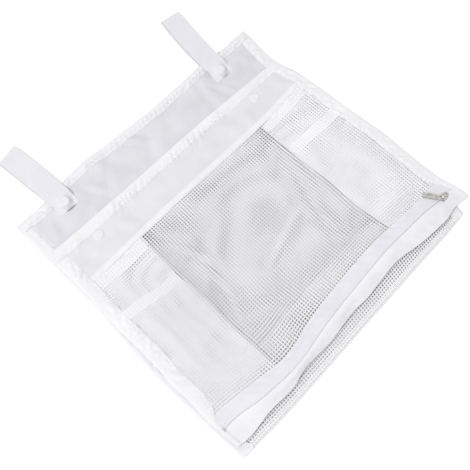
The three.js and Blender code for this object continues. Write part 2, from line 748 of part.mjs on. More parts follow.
const turn = (points) => {
  const profile = points.map(([radius, z]) => new THREE.Vector2(radius, z));
  return new THREE.LatheGeometry(profile, SNAP_FACETS).rotateX(Math.PI / 2);
};

// A domed cap on a post, with its face up. Its underside is at zero.
function snapCap(postLength) {
  const shoulder = SNAP_CAP_RADIUS * SNAP_DOME_SHARE;
  return turn([
    [0, -postLength],
    [SNAP_POST_RADIUS, -postLength],
    [SNAP_POST_RADIUS, 0],
    [SNAP_CAP_RADIUS, 0],
    [SNAP_CAP_RADIUS, SNAP_CAP_RIM],
    [shoulder, SNAP_CAP_HEIGHT],
    [0, SNAP_CAP_HEIGHT],
  ]);
}

// A stud: a flange on the cloth and a bulged head, bored for the cap's post.
function snapStud() {
  const bore = SNAP_POST_RADIUS + SEAM_GAP;
  const shoulder = SNAP_FLANGE + STUD_HEAD_HEIGHT - STUD_HEAD_BAND * 2;
  const top = SNAP_FLANGE + STUD_HEAD_HEIGHT;
  return turn([
    [bore, 0],
    [SNAP_BODY_RADIUS, 0],
    [SNAP_BODY_RADIUS, SNAP_FLANGE],
    [STUD_NECK_RADIUS, SNAP_FLANGE],
    [STUD_NECK_RADIUS, shoulder - SNAP_CAP_RIM],
    [STUD_HEAD_RADIUS, shoulder],
    [STUD_HEAD_RADIUS, shoulder + STUD_HEAD_BAND],
    [bore, top],
    [bore, 0],
  ]);
}

// A socket: an open cup with an inner lip, bored at its closed end for the cap's post.
function snapSocket(height) {
  const bore = SNAP_POST_RADIUS + SEAM_GAP;
  const mouth = STUD_HEAD_RADIUS + SOCKET_CLEARANCE;
  return turn([
    [bore, height - SOCKET_TOP],
    [mouth + SOCKET_LIP, height - SOCKET_TOP],
    [mouth + SOCKET_LIP, SOCKET_LIP],
    [mouth, SOCKET_LIP / 2],
    [mouth, 0],
    [SNAP_BODY_RADIUS - SOCKET_LIP, 0],
    [SNAP_BODY_RADIUS, SOCKET_LIP],
    [SNAP_BODY_RADIUS, height],
    [bore, height],
    [bore, height - SOCKET_TOP],
  ]);
}

function buildSnaps() {
  const studLow = BACK_OVER + SEAM_GAP;
  const socketLow = studLow + SNAP_FLANGE + SEAM_GAP;
  const socketHeight = FRONT_UNDER - SEAM_GAP - socketLow;
  for (const { name, x, y, sheet } of snapPlaces()) {
    const capLow = FRONT_UNDER + sheet + SEAM_GAP;
    const capPost = sheet + 2 * SEAM_GAP + SOCKET_TOP / 2;
    add(`${name}_snap_cap`, snapCap(capPost).translate(x, y, capLow), snapWhite);
    add(`${name}_snap_socket`, snapSocket(socketHeight).translate(x, y, socketLow), snapWhite);
    add(`${name}_snap_stud`, snapStud().translate(x, y, studLow), snapWhite);
    const rearPost = CLOTH + 2 * SEAM_GAP + SNAP_FLANGE;
    const rear = snapCap(rearPost).rotateX(Math.PI).translate(x, y, SNAP_CAP_HEIGHT);
    add(`${name}_snap_rear_cap`, rear, snapWhite);
  }
}

buildBack();
buildMouthFlap();
buildFront();
for (const [side, word] of SIDES) {
  buildSideGusset(side, word);
  buildMouthGusset(side, word);
  buildLoop(side, word);
}
buildBottomGusset();
buildZip();
buildSnaps();

export default bag;
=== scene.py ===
"""Dresses the hanging net bag for bath toys: cloth, knitted net, bindings, zip, straps and snaps."""

import math

import bmesh
import bpy
from mathutils import Matrix, Vector, noise


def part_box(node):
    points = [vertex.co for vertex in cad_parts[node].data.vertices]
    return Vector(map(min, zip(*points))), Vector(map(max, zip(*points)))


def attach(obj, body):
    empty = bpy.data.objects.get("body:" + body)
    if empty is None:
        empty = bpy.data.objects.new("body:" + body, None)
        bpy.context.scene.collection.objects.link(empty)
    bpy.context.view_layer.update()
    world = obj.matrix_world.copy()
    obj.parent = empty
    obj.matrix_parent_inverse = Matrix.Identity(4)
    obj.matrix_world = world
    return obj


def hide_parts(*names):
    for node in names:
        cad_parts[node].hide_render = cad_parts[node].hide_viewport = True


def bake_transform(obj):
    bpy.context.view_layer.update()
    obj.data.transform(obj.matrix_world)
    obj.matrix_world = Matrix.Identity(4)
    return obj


bl_info = {
    "name": "Bath Toy Net Bag",
    "version": (1, 0, 0),
    "blender": (4, 5, 0),
    "location": "3D View > Sidebar > Net Bag",
    "description": "Dresses the model of a net bag with its cloth, net, zip, straps and snaps",
    "category": "Object",
}

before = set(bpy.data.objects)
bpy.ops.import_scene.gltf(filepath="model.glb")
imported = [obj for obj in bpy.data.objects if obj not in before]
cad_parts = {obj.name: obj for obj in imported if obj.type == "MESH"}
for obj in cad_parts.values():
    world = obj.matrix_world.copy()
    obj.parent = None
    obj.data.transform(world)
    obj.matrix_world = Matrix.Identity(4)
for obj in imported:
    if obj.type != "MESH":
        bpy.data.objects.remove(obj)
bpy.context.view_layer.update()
MM = 0.001


def cad(node):
    """A CAD node's lowest and highest corners, in millimetres from the middle of the bag's foot."""
    low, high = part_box(node)
    return [Vector((c.x, c.y, c.z)) / MM - Vector((0, FOOT, 0)) for c in (low, high)]


def middle_of(node):
    """The middle of a CAD node, seen from above, in bag millimetres."""
    low, high = cad(node)
    return low.x / 2 + high.x / 2, low.y / 2 + high.y / 2


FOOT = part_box("back_left_hem")[0].y / MM
SIDES = (("left", -1), ("right", 1))
HALF = -cad("back_left_hem")[0].x
BACK_TOP = cad("back_top_hem")[1].y
FRONT_TOP = cad("front_top_hem")[1].y
BAND_LINE = cad("front_band")[0].y
ZIP_FOOT = cad("lower_zip_tape")[0].y
ZIP_HEAD = cad("upper_zip_tape")[1].y
ZIP_LINE = (ZIP_FOOT + ZIP_HEAD) / 2
BACK_UNDER = cad("back_band")[0].z
BACK_OVER = cad("back_band")[1].z
FRONT_UNDER = cad("front_band")[0].z
FRONT_OVER = cad("front_band")[1].z
TAPE_UNDER = cad("upper_zip_tape")[0].z
FOOT_RISE = TAPE_UNDER - FRONT_UNDER
HEM_WIDTH = HALF + cad("front_band_left_hem")[1].x
TOP_WIDTH = BACK_TOP - cad("back_top_hem")[0].y
GUSSET_IN = HALF + cad("left_gusset_lower_net")[1].x
GUSSET_TAPE = cad("left_gusset_tape")[1].y
SNAP_X, MOUTH_SNAP_Y = middle_of("right_mouth_snap_cap")
LOOP_SNAP_Y = middle_of("right_loop_snap_cap")[1]

# Millimetres
SEAM = 0.3  # Between pieces that are sewn together
HALF_CLOTH = 0.25
GUSSET_BACK = BACK_OVER + SEAM + HALF_CLOTH  # Height of a gusset's layer over the back
EDGE = 0.8  # How far a panel stops short of the fold of its binding
FOLD_RADIUS = 0.75  # Of a gusset's inner fold
LIP_REST = 0.12  # How high a binding's inner lip is left over its cloth
LOWEST = 1.2  # How far a valley may sink before the back would meet the ground
LEAVES = 2.6  # Height of a gusset's two leaves, one on the other, at their inner fold
SLIDER_IN = 13.0  # How far the slider rests from the bag's side
TAPE_DROP = 5.0  # How much lower the zip's lower tape hangs along its free edge
FOLD_REACH = 10.0  # How far to each side a fold of the back net pushes its threads
FOLD_PUSH = 0.45  # How much of their way from the fold they are pushed
COIL_PITCH = 1.6  # From one turn of the zip's coil to the next
STRAP_SLIT = (13.6, 3.4)  # Half the opening in the top binding's fold round a strap
YARN_TWIST = 1.2  # Length of one twist along a net thread

# A press cap's section, as distance from the middle and height: the dish, and the shank under it
CAP_RIM = 1.1
CAP_DISH = ((0, 0.98), (0.9, 0.98), (1.7, 0.9), (2.6, 0.92), (3.5, 1.04), (4.2, CAP_RIM),
            (4.8, 0.98), (5.3, 0.62), (5.7, 0.16))
CAP_SHANK = ((1.3, -0.5), (1.3, -0.9), (0, -0.9))

# How each strap lies at its crest: its lean to the right and stretch in millimetres, and its skew.
# Neither is folded quite square, so the rear leg looks out along the left edge.
STRAP_LIE = {"left": (-6.0, 0.0, 0.21), "right": (14.5, 8.5, -0.12)}

# The camera fitted to the photograph: its direction and roll in degrees, the point of the bag that
# it looks at in millimetres, how far off it stands in metres, and its lens
CAMERA_AZIMUTH, CAMERA_HEIGHT, CAMERA_ROLL = -47.017, 66.977, 1.019
CAMERA_AIM = (-17.7, 164.2)
CAMERA_DISTANCE = 0.7385
CAMERA_LENS = 52.894

# How far each sewn edge strays from its straight cut line, in millimetres along that edge.
BACK_LEFT = ((0, 1.5), (20, 0), (59, -1.5), (109, -3), (138, -2.4), (170, -0.5), (203, 2.3),
             (237, 5.6), (268, 5), (300, 4.2), (343, 3.2))
BACK_RIGHT = ((0, -8), (30, 0), (100, 2), (200, 3), (252, 5.6), (273, 1), (292, -1), (331, 4),
              (343, 4.5))
BACK_UPPER = ((-178, -7.7), (-136, -6), (-103, 0.9), (-73, 2.8), (-38, 0.8), (35, -2), (110, 1),
              (140, -1), (178, 0.9))
BACK_LOWER = ((-178, -0.4), (-114, -2.1), (26, 0), (109, 1.6), (151, 1.9), (178, 4))
FRONT_LEFT = ((10, 4.6), (43, 0.9), (74, 2.2), (93, 1.3), (123, 3.2), (150, 3.3), (183, 3.0),
              (208, 3.8), (226, 4.8), (266, 5.2), (285, 5.9))
FRONT_RIGHT = ((10, 10.4), (20, 9.4), (50, 3), (77, 2.6), (127, 5.4), (176, 3.5), (245, 1.6),
               (265, -2), (285, -6))
FRONT_UPPER = ((-178, 1.3), (-100, 1.6), (51, 2.7), (96, 1.9), (150, 0.8), (178, -0.4))
FRONT_BAND_EDGE = ((-178, -7.2), (-160, -6.6), (-60, -3), (91, -1.4), (117, 0), (178, 4.6))
ZIP_UPPER = ((-178, 0), (-159, -0.5), (-120, -6), (-81, -10.5), (-35, -2.5), (15, 2), (67, 4),
             (100, 2.5), (137, 0.6), (178, 0))
ZIP_CHAIN = ((-178, 0), (-157, 0), (-129, -5.5), (-81, -8.5), (-34, -2), (15, 2.2), (67, 4.8),
             (99, 4.2), (130, 3), (158, 0), (178, 0))
ZIP_LOWER = ((-178, -4), (-162, -6), (-134, -3.6), (-102, -4.5), (-80, -0.5), (-43, -0.7),
             (-2, 3.3), (15, 2), (65, 5.4), (99, 0), (139, -3), (158, -0.5), (178, -3))


def trace(table, at):
    """Reads a measured edge between its points, on a smooth curve."""
    if at <= table[0][0]:
        return table[0][1]
    if at >= table[-1][0]:
        return table[-1][1]
    i = next(k for k in range(1, len(table)) if at <= table[k][0])
    (x0, a), (x1, b) = table[i - 1], table[i]
    before, after = table[max(i - 2, 0)], table[min(i + 1, len(table) - 1)]
    span = x1 - x0
    lean_a = (b - before[1]) / (x1 - before[0]) * span
    lean_b = (after[1] - a) / (after[0] - x0) * span
    t = (at - x0) / span
    return (
        a * (2 * t**3 - 3 * t**2 + 1)
        + lean_a * (t**3 - 2 * t**2 + t)
        + b * (3 * t**2 - 2 * t**3)
        + lean_b * (t**3 - t**2)
    )


def smooth(low, high, value):
    """Goes from 0 at low to 1 at high without a corner."""
    t = min(max((value - low) / (high - low), 0.0), 1.0)
    return t * t * (3 - 2 * t)


def between(a, b, share):
    return a + (b - a) * share


def calm(x, y):
    """0 where a rigid snap or the slider sits on the cloth, 1 away from them."""
    still = 1.0
    for cx, cy in ((SNAP_X, MOUTH_SNAP_Y), (SNAP_X, LOOP_SNAP_Y), (HALF - SLIDER_IN, ZIP_LINE)):
        away = math.hypot(abs(x) - cx, y - cy)
        still *= smooth(8, 34, away)
    return still


def swell(x, y):
    """How far the whole pile of cloth is raised off the ground by its gentle waves."""
    broad = noise.noise(Vector((x / 95 + 3.1, y / 120 + 1.7, 0.4)))
    fine = noise.noise(Vector((x / 38 + 7.3, y / 60 - 2.2, 5.1)))
    return max(0.0, 1.3 + 2.6 * broad + 0.9 * fine) * calm(x, y)


# Soft creases in the two cloth bands, in millimetres: from, to, half width and height. Below 0 is a
# valley.
BACK_CREASES = (
    (60, 330, 52, 292, 16, 1.6), (86, 336, 80, 288, 6, -1.1), (96, 336, 90, 286, 8, 1.0),
    (100, 330, 118, 296, 2.6, -1.1), (97, 323, 114, 292, 3, 1.0), (92, 318, 108, 290, 2.8, -0.9),
    (-31, 331, -13, 312, 2.6, -1.2), (-26, 336, -7, 317, 3.6, 1.4), (-66, 334, -62, 300, 8, 1.3),
    (-49, 336, -85, 290, 5.5, -1.4), (-100, 318, -84, 294, 3, -1.0), (-95, 322, -78, 297, 4, 1.0),
    (20, 326, -4, 292, 9, 1.2), (2, 334, -18, 290, 6, -1.0), (146, 326, 163, 296, 6, 1.0),
    (-146, 328, -158, 292, 5, 0.9),
)
FRONT_CREASES = (
    (-109, 255, -84, 236, 5, -1.3), (-104, 263, -76, 240, 6, 1.1), (24, 264, 71, 247, 7, -1.4),
    (20, 274, 76, 259, 6, 1.1), (108, 262, 84, 268, 3, -0.9), (107, 257, 82, 252, 3.2, 0.9),
    (132, 262, 152, 270, 3, -0.9), (-132, 262, -152, 254, 3, -0.9), (-134, 268, -152, 272, 3.4, 0.8),
    (-54, 258, -16, 264, 12, 1.4), (120, 245, 160, 240, 8, 1.0), (-30, 246, 8, 240, 6, -1.0),
    (92, 240, 100, 262, 5, 0.9),
)


# Where the back net is folded soft and lies open, as lines of points on the bag.
NET_FOLDS = (
    ((-88, 221), (-68, 188), (-63, 154), (-70, 118), (-83, 86)),
    ((92, 227), (90, 195), (70, 156), (56, 139), (26, 128), (-15, 114)),
    ((93, 189), (82, 152), (63, 126), (60, 98), (62, 76)),
)


def off_line(x, y, x0, y0, x1, y1):
    """How far a point lies off a line's nearest point, in X and Y, and where on the line that is."""
    run = (x1 - x0) ** 2 + (y1 - y0) ** 2
    t = min(max(((x - x0) * (x1 - x0) + (y - y0) * (y1 - y0)) / run, 0), 1)
    return x - x0 - t * (x1 - x0), y - y0 - t * (y1 - y0), t


def creased(table, x, y):
    """The height of the listed creases at a point of the cloth."""
    total = 0.0
    for *line, width, height in table:
        off_x, off_y, t = off_line(x, y, *line)
        away = math.hypot(off_x, off_y)
        total += height * math.exp(-((away / width) ** 2)) * (1 - 0.5 * (2 * t - 1) ** 2)
    return total


def spread(x, y):
    """How far the back net's folds push its threads away to each side."""
    pushed_x = pushed_y = 0.0
    for line in NET_FOLDS:
        offs = [off_line(x, y, *start, *end) for start, end in zip(line, line[1:])]
        off_x, off_y, _ = min(offs, key=lambda off: math.hypot(off[0], off[1]))
        push = FOLD_PUSH * math.exp(-((math.hypot(off_x, off_y) / FOLD_REACH) ** 2))
        pushed_x += off_x * push
        pushed_y += off_y * push
    return pushed_x, pushed_y


def pillow(x, y):
    """The back cloth is drawn up a little round the straps' snaps."""
    away = math.hypot(abs(x) - SNAP_X, y - LOOP_SNAP_Y)
    return 2.6 * smooth(6.5, 10, away) * smooth(30, 12, away)


def settled(x, y):
    """How far the front sinks towards the back, over the gussets' folds and between them."""
    room = FRONT_UNDER + rise(y) - BACK_OVER - SEAM
    folds = smooth(HALF - HEM_WIDTH, HALF - GUSSET_IN, abs(x))
    middle = smooth(HALF - GUSSET_IN - 1, HALF - GUSSET_IN - 15, abs(x))
    held = smooth(ZIP_HEAD, 100, y) * between(1, 0.42, smooth(BAND_LINE - 2, BAND_LINE + 16, y))
    snap = smooth(9, 34, math.hypot(abs(x) - SNAP_X, y - MOUTH_SNAP_Y))
    return ((room - LEAVES) * folds + LEAVES * middle) * held * snap


def rumpled(x, y, share):
    """The bands' creases and handling marks, faded out down on the net."""
    held = smooth(BAND_LINE - 4, BAND_LINE + 14, y) * calm(x, y)
    if held <= 0:
        return 0.0
    creases = between(creased(BACK_CREASES, x, y), creased(FRONT_CREASES, x, y), share)
    marks = 0.8 * noise.noise(Vector((x / 15, y / 13, 3.3 + 4 * share)))
    return (1.3 * creases + marks) * held


def pucker(inward, along, seed):
    """One row of diagonal puckers: how high the cloth is pulled at a distance in from its edge."""
    slant = along + 0.55 * inward
    beat = 6.3 + 1.6 * noise.noise(Vector((along / 30, seed, 0.2)))
    strength = 0.6 + 0.5 * noise.noise(Vector((along / 22, seed * 3.7, 1.9)))
    turn = 2 * math.pi * slant / beat
    return strength * (math.sin(turn) + 0.35 * math.sin(2 * turn + 0.8))


def gathers(x, y, top, seed):
    """The puckers that sewing drew along a panel's top and sides, and a little past its bindings."""
    side = 1 if x > 0 else -1
    total = 0.0
    down, across = top - y, HALF - abs(x)
    for inward, along, width, row, corner in (
        (down, x, TOP_WIDTH, seed, across), (across, y, HEM_WIDTH, seed + side, down),
    ):
        fade = smooth(0, width * 0.5, inward) * smooth(width + 7, width - 2, inward)
        fade *= smooth(10, 26, corner)
        if fade > 0:
            total += fade * pucker(inward, along, row)
    return total * bpy.context.scene.net_bag_sizes.gather


def back_shift(x, y):
    across = (x + HALF) / (2 * HALF)
    up = y / BACK_TOP
    return (
        between(trace(BACK_LEFT, y), trace(BACK_RIGHT, y), across),
        between(trace(BACK_LOWER, x), trace(BACK_UPPER, x), up),
    )


FRONT_ROWS = ((ZIP_FOOT, ZIP_LOWER, 1), (ZIP_LINE, ZIP_CHAIN, 1), (ZIP_HEAD, ZIP_UPPER, 1),
              (100, ZIP_UPPER, 0.35), (150, FRONT_BAND_EDGE, 0.4), (BAND_LINE, FRONT_BAND_EDGE, 1),
              (FRONT_TOP, FRONT_UPPER, 1))


def front_shift(x, y):
    across = (x + HALF) / (2 * HALF)
    rows = [(at, trace(table, x) * share) for at, table, share in FRONT_ROWS]
    return between(trace(FRONT_LEFT, y), trace(FRONT_RIGHT, y), across), trace(rows, y)


def lay(x, y, z, share):
    """Takes a point of the straight-cut bag to where the bag lies.

    share is 0 on the back and 1 on the front.
    """
    back_x, back_y = back_shift(x, y) if share < 1 else (0, 0)
    front_x, front_y = front_shift(x, y) if share > 0 else (0, 0)
    pulled_back = gathers(x, y, BACK_TOP, 6) * min(z / 3, 1)
    pulled = between(pulled_back, gathers(x, y, FRONT_TOP, 14), share)
    sunk = share * (TAPE_DROP * smooth(ZIP_LINE - 4, ZIP_FOOT - 3, y) + settled(x, y))
    drawn_up = pillow(x, y) * (1 - share) * min(z / 3, 1)
    raised = swell(x, y) + rumpled(x, y, share) + pulled * calm(x, y)
    z += max(raised, -min(LOWEST, 0.6 * z)) + drawn_up - sunk
    slid = 0.29 * share * settled(x, y)
    x, y = x + between(back_x, front_x, share), y + between(back_y, front_y, share) + slid
    return Vector((x, y + FOOT, z)) * MM


def rise(y):
    """How much higher the front lies near the zip than at the mouth."""
    return FOOT_RISE * min(max((BAND_LINE - y) / (BAND_LINE - ZIP_HEAD), 0), 1)


# Bench work: how each piece is cut, knitted and sewn, in millimetres until it is sewn


def clear_bench():
    if bpy.context.object and bpy.context.object.mode != "OBJECT":
        bpy.ops.object.mode_set(mode="OBJECT")
    bpy.ops.object.select_all(action="DESELECT")


def pick(*pieces):
    clear_bench()
    for piece in pieces:
        piece.select_set(True)
    bpy.context.view_layer.objects.active = pieces[0]
    return pieces[0]


def settle(piece):
    """Puts a piece's place and size into its mesh."""
    pick(piece)
    bpy.ops.object.transform_apply(location=True, rotation=True, scale=True)
    return piece


def modify(piece, kind, **settings):
    pick(piece)
    change = piece.modifiers.new(kind.title(), kind)
    for name, value in settings.items():
        setattr(change, name, value)
    bpy.ops.object.modifier_apply(modifier=change.name)
    return piece


def cut_cloth(name, finish_name, width, length, cell, thickness=None):
    """Cuts a flat piece in small cells, with one corner at the origin, and thickens it."""
    if thickness is None:
        thickness = bpy.context.scene.net_bag_sizes.cloth
    clear_bench()
    bpy.ops.mesh.primitive_grid_add(
        x_subdivisions=max(2, round(width / cell[0])),
        y_subdivisions=max(2, round(length / cell[1])),
        size=1,
        location=(width / 2, length / 2, 0),
    )
    piece = bpy.context.object
    piece.name = name
    piece.scale = (width, length, 1)
    settle(piece)
    piece.data.materials.append(finish(finish_name))
    if thickness:
        modify(piece, "SOLIDIFY", thickness=thickness, offset=0, use_rim=True)
    return piece


def join(*pieces):
    pick(*pieces)
    bpy.ops.object.join()
    return bpy.context.object


def sew(piece, path):
    """Moves each vertex of a flat piece along its path on the bag, and keeps its cut as a UV map.

    Where that mirrors the piece, its faces are turned out again.
    """
    mesh = piece.data
    cut_map = mesh.uv_layers.get("cut") or mesh.uv_layers.new(name="cut")
    flat = [v.co.copy() for v in mesh.vertices]
    for loop in mesh.loops:
        co = flat[loop.vertex_index]
        cut_map.data[loop.index].uv = (co.x * MM, co.y * MM)
    for vertex, co in zip(mesh.vertices, flat):
        vertex.co = path(co.x, co.y, co.z)
    mesh.update()
    solid = bmesh.new()
    solid.from_mesh(mesh)
    if solid.calc_volume(signed=True) < 0:
        mesh.flip_normals()
    solid.free()
    pick(piece)
    bpy.ops.object.shade_smooth_by_angle(angle=math.radians(50))
    return piece


def thread(name, length, size, steps, along):
    """One net thread from the origin: a four-sided yarn in short lengths."""
    clear_bench()
    turned = (math.pi / 2, 0, 0) if along == "Y" else (0, math.pi / 2, 0)
    bpy.ops.mesh.primitive_circle_add(vertices=4, radius=0.5, fill_type="NGON", rotation=turned)
    piece = bpy.context.object
    piece.name = name
    piece.scale = (size[0], 1, size[1]) if along == "Y" else (1, size[0], size[1])
    settle(piece)
    step = (0, length / steps, 0) if along == "Y" else (length / steps, 0, 0)
    bpy.ops.object.mode_set(mode="EDIT")
    bpy.ops.mesh.select_all(action="SELECT")
    for _ in range(steps):
        bpy.ops.mesh.extrude_region_move(TRANSFORM_OT_translate={"value": step})
    bpy.ops.mesh.select_all(action="SELECT")
    bpy.ops.mesh.normals_make_consistent(inside=False)
    bpy.ops.object.mode_set(mode="OBJECT")
    return piece


def repeat(piece, count, step):
    return modify(
        piece, "ARRAY", count=count, use_relative_offset=False,
        use_constant_offset=True, constant_offset_displace=step,
    )


def knit(name, finish_name, width, length, segment=8, full=1.0):
    """Knits a flat net with one corner at the origin. full is above 1 for broader threads."""
    sizes = bpy.context.scene.net_bag_sizes
    wales = round(width / sizes.wale_pitch)
    courses = round(length / sizes.course_pitch)
    thick = (sizes.wale_width * full, sizes.thread_height)
    upright = thread(name, length, thick, max(2, round(length / segment)), "Y")
    repeat(upright, wales + 1, (width / wales, 0, 0))
    thick = (sizes.course_width * full, sizes.thread_height)
    level = thread(name + "_courses", width, thick, max(2, round(width / segment)), "X")
    repeat(level, courses + 1, (0, length / courses, 0))
    net = join(upright, level)
    net.data.materials.append(finish(finish_name))
    return net


def stitched(piece, rows, length, thickness=None):
    """Sews rows of stitches on a flat piece, along Y at each row's distance across."""
    sizes = bpy.context.scene.net_bag_sizes
    lift = (thickness or sizes.cloth) / 2
    made = [piece]
    start = 1.5
    for at in rows:
        clear_bench()
        bpy.ops.mesh.primitive_uv_sphere_add(segments=6, ring_count=4, radius=0.5)
        stitch = bpy.context.object
        stitch.name = piece.name + "_stitch"
        stitch.scale = (0.55, sizes.stitch_length, 0.5)
        stitch.location = (at, start + sizes.stitch_length / 2, lift)
        settle(stitch)
        count = int((length - 2 * start) / sizes.stitch_pitch)
        repeat(stitch, max(count, 1), (0, sizes.stitch_pitch, 0))
        stitch.data.materials.append(finish("sewing_thread"))
        made.append(stitch)
    return join(*made)


def finish(name):
    """The finish with that name, made on first use."""
    found = bpy.data.materials.get(name)
    return found or FINISHES[name](name)


def dress(piece, body=None, replaces=()):
    """Hides the CAD nodes that a piece stands for, and sets it to ride on its body."""
    if replaces:
        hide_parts(*replaces)
    if body:
        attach(piece, body)
    return piece


# Sections of folded cloth. Each gives the distance in from the edge, the height, and the way out.


def hem_line(width, low, high):
    """Tape folded round an edge: in under it, round the fold, and back over it."""
    radius = (high - low) / 2
    run = width - radius
    arc = math.pi * radius

    def at(s):
        if s < run:
            return width - s, low, 0, -1
        if s < run + arc:
            turn = (s - run) / radius
            outward, up = math.sin(turn), -math.cos(turn)
            return radius - radius * outward, low + radius + radius * up, -outward, up
        return radius + s - run - arc, high, 0, 1

    return at, 2 * run + arc


def fold_line(start, depth, front, back):
    """A gusset's cloth: in under the front, round its inner fold, and out over the back."""
    radius = FOLD_RADIUS
    run = depth - radius - start
    arc = math.pi * radius

    def at(s):
        if s < run:
            return start + s, front, 0, 1
        if s < run + arc:
            turn = (s - run) / radius
            inward_way, up = math.sin(turn), math.cos(turn)
            z = between(back, front, 0.5 + 0.5 * up)
            return depth - radius + radius * inward_way, z, inward_way, up
        return depth - radius - (s - run - arc), back, 0, -1

    return at, 2 * run + arc


def ironed(at, h, width, lift, free=1.0, press=1.0, shut=0.0, middle=0.0):
    """How far in and how high a point of a folded binding lies.

    Its inner lip is ironed thin where free is 1, so that it shows no hard step, and where press is 1
    too, it is sewn down by the lift that it has over its cloth. shut closes its fold towards the
    middle height.
    """
    inward, z, out, up = at
    over = smooth(0.3, 0.7, up) * free
    h *= between(1, between(1, 0.2, smooth(width - 2.2, width - 0.3, inward)), over)
    sewn = (lift - LIP_REST) * smooth(width - 4.5, width - 0.8, inward) * over * press
    return inward + out * h, between(z, middle, shut) + up * h - sewn


def off_sides(x):
    """0 where a top binding lies over a side binding, 1 away from it."""
    return smooth(HALF - HEM_WIDTH + 4.5, HALF - HEM_WIDTH + 0.8, abs(x))


def edge_wobble(along, seed):
    return 0.5 * noise.noise(Vector((along / 17, seed * 5.3, 8.8)))


# Finishes


def rgba(hex_colour):
    """Turns an sRGB hex colour into Blender's linear one."""
    parts = [int(hex_colour.lstrip("#")[i : i + 2], 16) / 255 for i in (0, 2, 4)]
    return [p / 12.92 if p <= 0.04045 else ((p + 0.055) / 1.055) ** 2.4 for p in parts] + [1.0]


def add_node(tree, kind, settings=None, links=None):
    """Adds a node, with its settings and inputs, and the sockets that feed it."""
    made = tree.nodes.new(kind)
    for name, value in (settings or {}).items():
        if isinstance(name, str) and hasattr(made, name):
            setattr(made, name, value)
        else:
            made.inputs[name].default_value = value
    for socket, source in (links or {}).items():
        tree.links.new(source, made.inputs[socket])
    return made


def new_finish(name):
    made = bpy.data.materials.new(name)
    made.use_nodes = True
    made.node_tree.nodes.clear()
    return made, made.node_tree


def close_finish(made, tree, shader, normal=None):
    if normal:
        tree.links.new(normal.outputs["Normal"], shader.inputs["Normal"])
    add_node(tree, "ShaderNodeOutputMaterial", links={"Surface": shader.outputs["BSDF"]})
    return made


def uneven_colour(tree, place, light, dark, scale, detail=3):
    """A colour that drifts a little between two of the bag's, from handling and how it was dyed."""
    colours = bpy.context.scene.net_bag_colours
    spots = add_node(
        tree, "ShaderNodeTexNoise", {"Scale": scale, "Detail": detail}, {"Vector": place}
    )
    ramp = add_node(tree, "ShaderNodeValToRGB", links={"Fac": spots.outputs["Fac"]})
    for stop, position, colour in ((0, 0.3, dark), (1, 0.7, light)):
        ramp.color_ramp.elements[stop].position = position
        ramp.color_ramp.elements[stop].color = rgba(getattr(colours, colour))
    return ramp.outputs["Color"]


WAVE_PERIOD = math.pi / 10  # Of a wave texture at scale 1


def woven(tree, place, spacing):
    """The height of a plain weave, with its threads that many metres apart."""
    waves = []
    for turn in (0.0, math.pi / 2):
        turned = add_node(tree, "ShaderNodeMapping", {"Rotation": (0, 0, turn)}, {"Vector": place})
        waves.append(add_node(
            tree, "ShaderNodeTexWave",
            {"wave_type": "BANDS", "bands_direction": "X", "Scale": WAVE_PERIOD / spacing,
             "Distortion": 0.4, "Detail": 1.0, "Detail Scale": 2.0},
            {"Vector": turned.outputs["Vector"]},
        ).outputs["Fac"])
    return add_node(
        tree, "ShaderNodeMath", {"operation": "MAXIMUM"}, {0: waves[0], 1: waves[1]}
    ).outputs["Value"]


# Each cloth's two colours, roughness, thread spacing and height of weave in metres, and sheen
CLOTHS = {
    # Plain-woven polyester, calendered smooth: an even, faintly lavender white with a dull shine.
    # Its threads are drawn 0.9 mm apart, coarser than the real 0.25 mm, so that they show.
    "plain_woven_polyester": ("front_cloth", "front_shade", 0.72, 0.0009, 0.00005, 0.25),
    # The same plain weave on the back panel, drawn cooler and darker as painted shade for the shade
    # it lies in.
    "shaded_woven_polyester": ("back_cloth", "back_shade", 0.75, 0.0009, 0.00005, 0.25),
    # Folded polyester binding tape: a brighter, duller white, with a fine cross rib 0.8 mm apart.
    "folded_binding_tape": ("binding", "binding_shade", 0.82, 0.0008, 0.0001, 0.35),
    # The same tape round the back panel, a little less bright: painted shade, for the lower place it
    # lies in.
    "folded_back_binding": ("back_binding", "binding_shade", 0.82, 0.0008, 0.0001, 0.3),
    # Woven zip tape: dense, smooth and matt, with ribs 0.7 mm apart along it.
    "woven_zip_tape": ("zip_tape", "zip_shade", 0.85, 0.0007, 0.00008, 0.3),
    # The lower tape is the same weave, drawn brighter than the upper one.
    "woven_zip_tape_outer": ("binding", "zip_tape", 0.85, 0.0007, 0.00008, 0.3),
    # Flat woven webbing: a heavier weave 1.4 mm apart, which gives the eye its ribbed face.
    "flat_woven_webbing": ("strap", "strap_shade", 0.78, 0.0014, 0.00022, 0.3),
}


def cloth_finish(name):
    light, dark, roughness, spacing, depth, sheen = CLOTHS[name]
    made, tree = new_finish(name)
    place = add_node(tree, "ShaderNodeUVMap", {"uv_map": "cut"}).outputs["UV"]
    colour = uneven_colour(tree, place, light, dark, 34)
    weave = woven(tree, place, spacing)
    creases = add_node(
        tree, "ShaderNodeTexNoise", {"Scale": 70, "Detail": 4, "Distortion": 0.6}, {"Vector": place}
    ).outputs["Fac"]
    rumple = add_node(
        tree, "ShaderNodeBump", {"Strength": 0.35, "Distance": 0.0009}, {"Height": creases}
    )
    bump = add_node(
        tree, "ShaderNodeBump", {"Strength": 0.5, "Distance": depth},
        {"Height": weave, "Normal": rumple.outputs["Normal"]},
    )
    shader = add_node(
        tree, "ShaderNodeBsdfPrincipled",
        {"Roughness": roughness, "IOR": 1.5, "Specular IOR Level": 0.25,
         "Sheen Weight": sheen, "Sheen Roughness": 0.5},
        {"Base Color": colour},
    )
    return close_finish(made, tree, shader, bump)


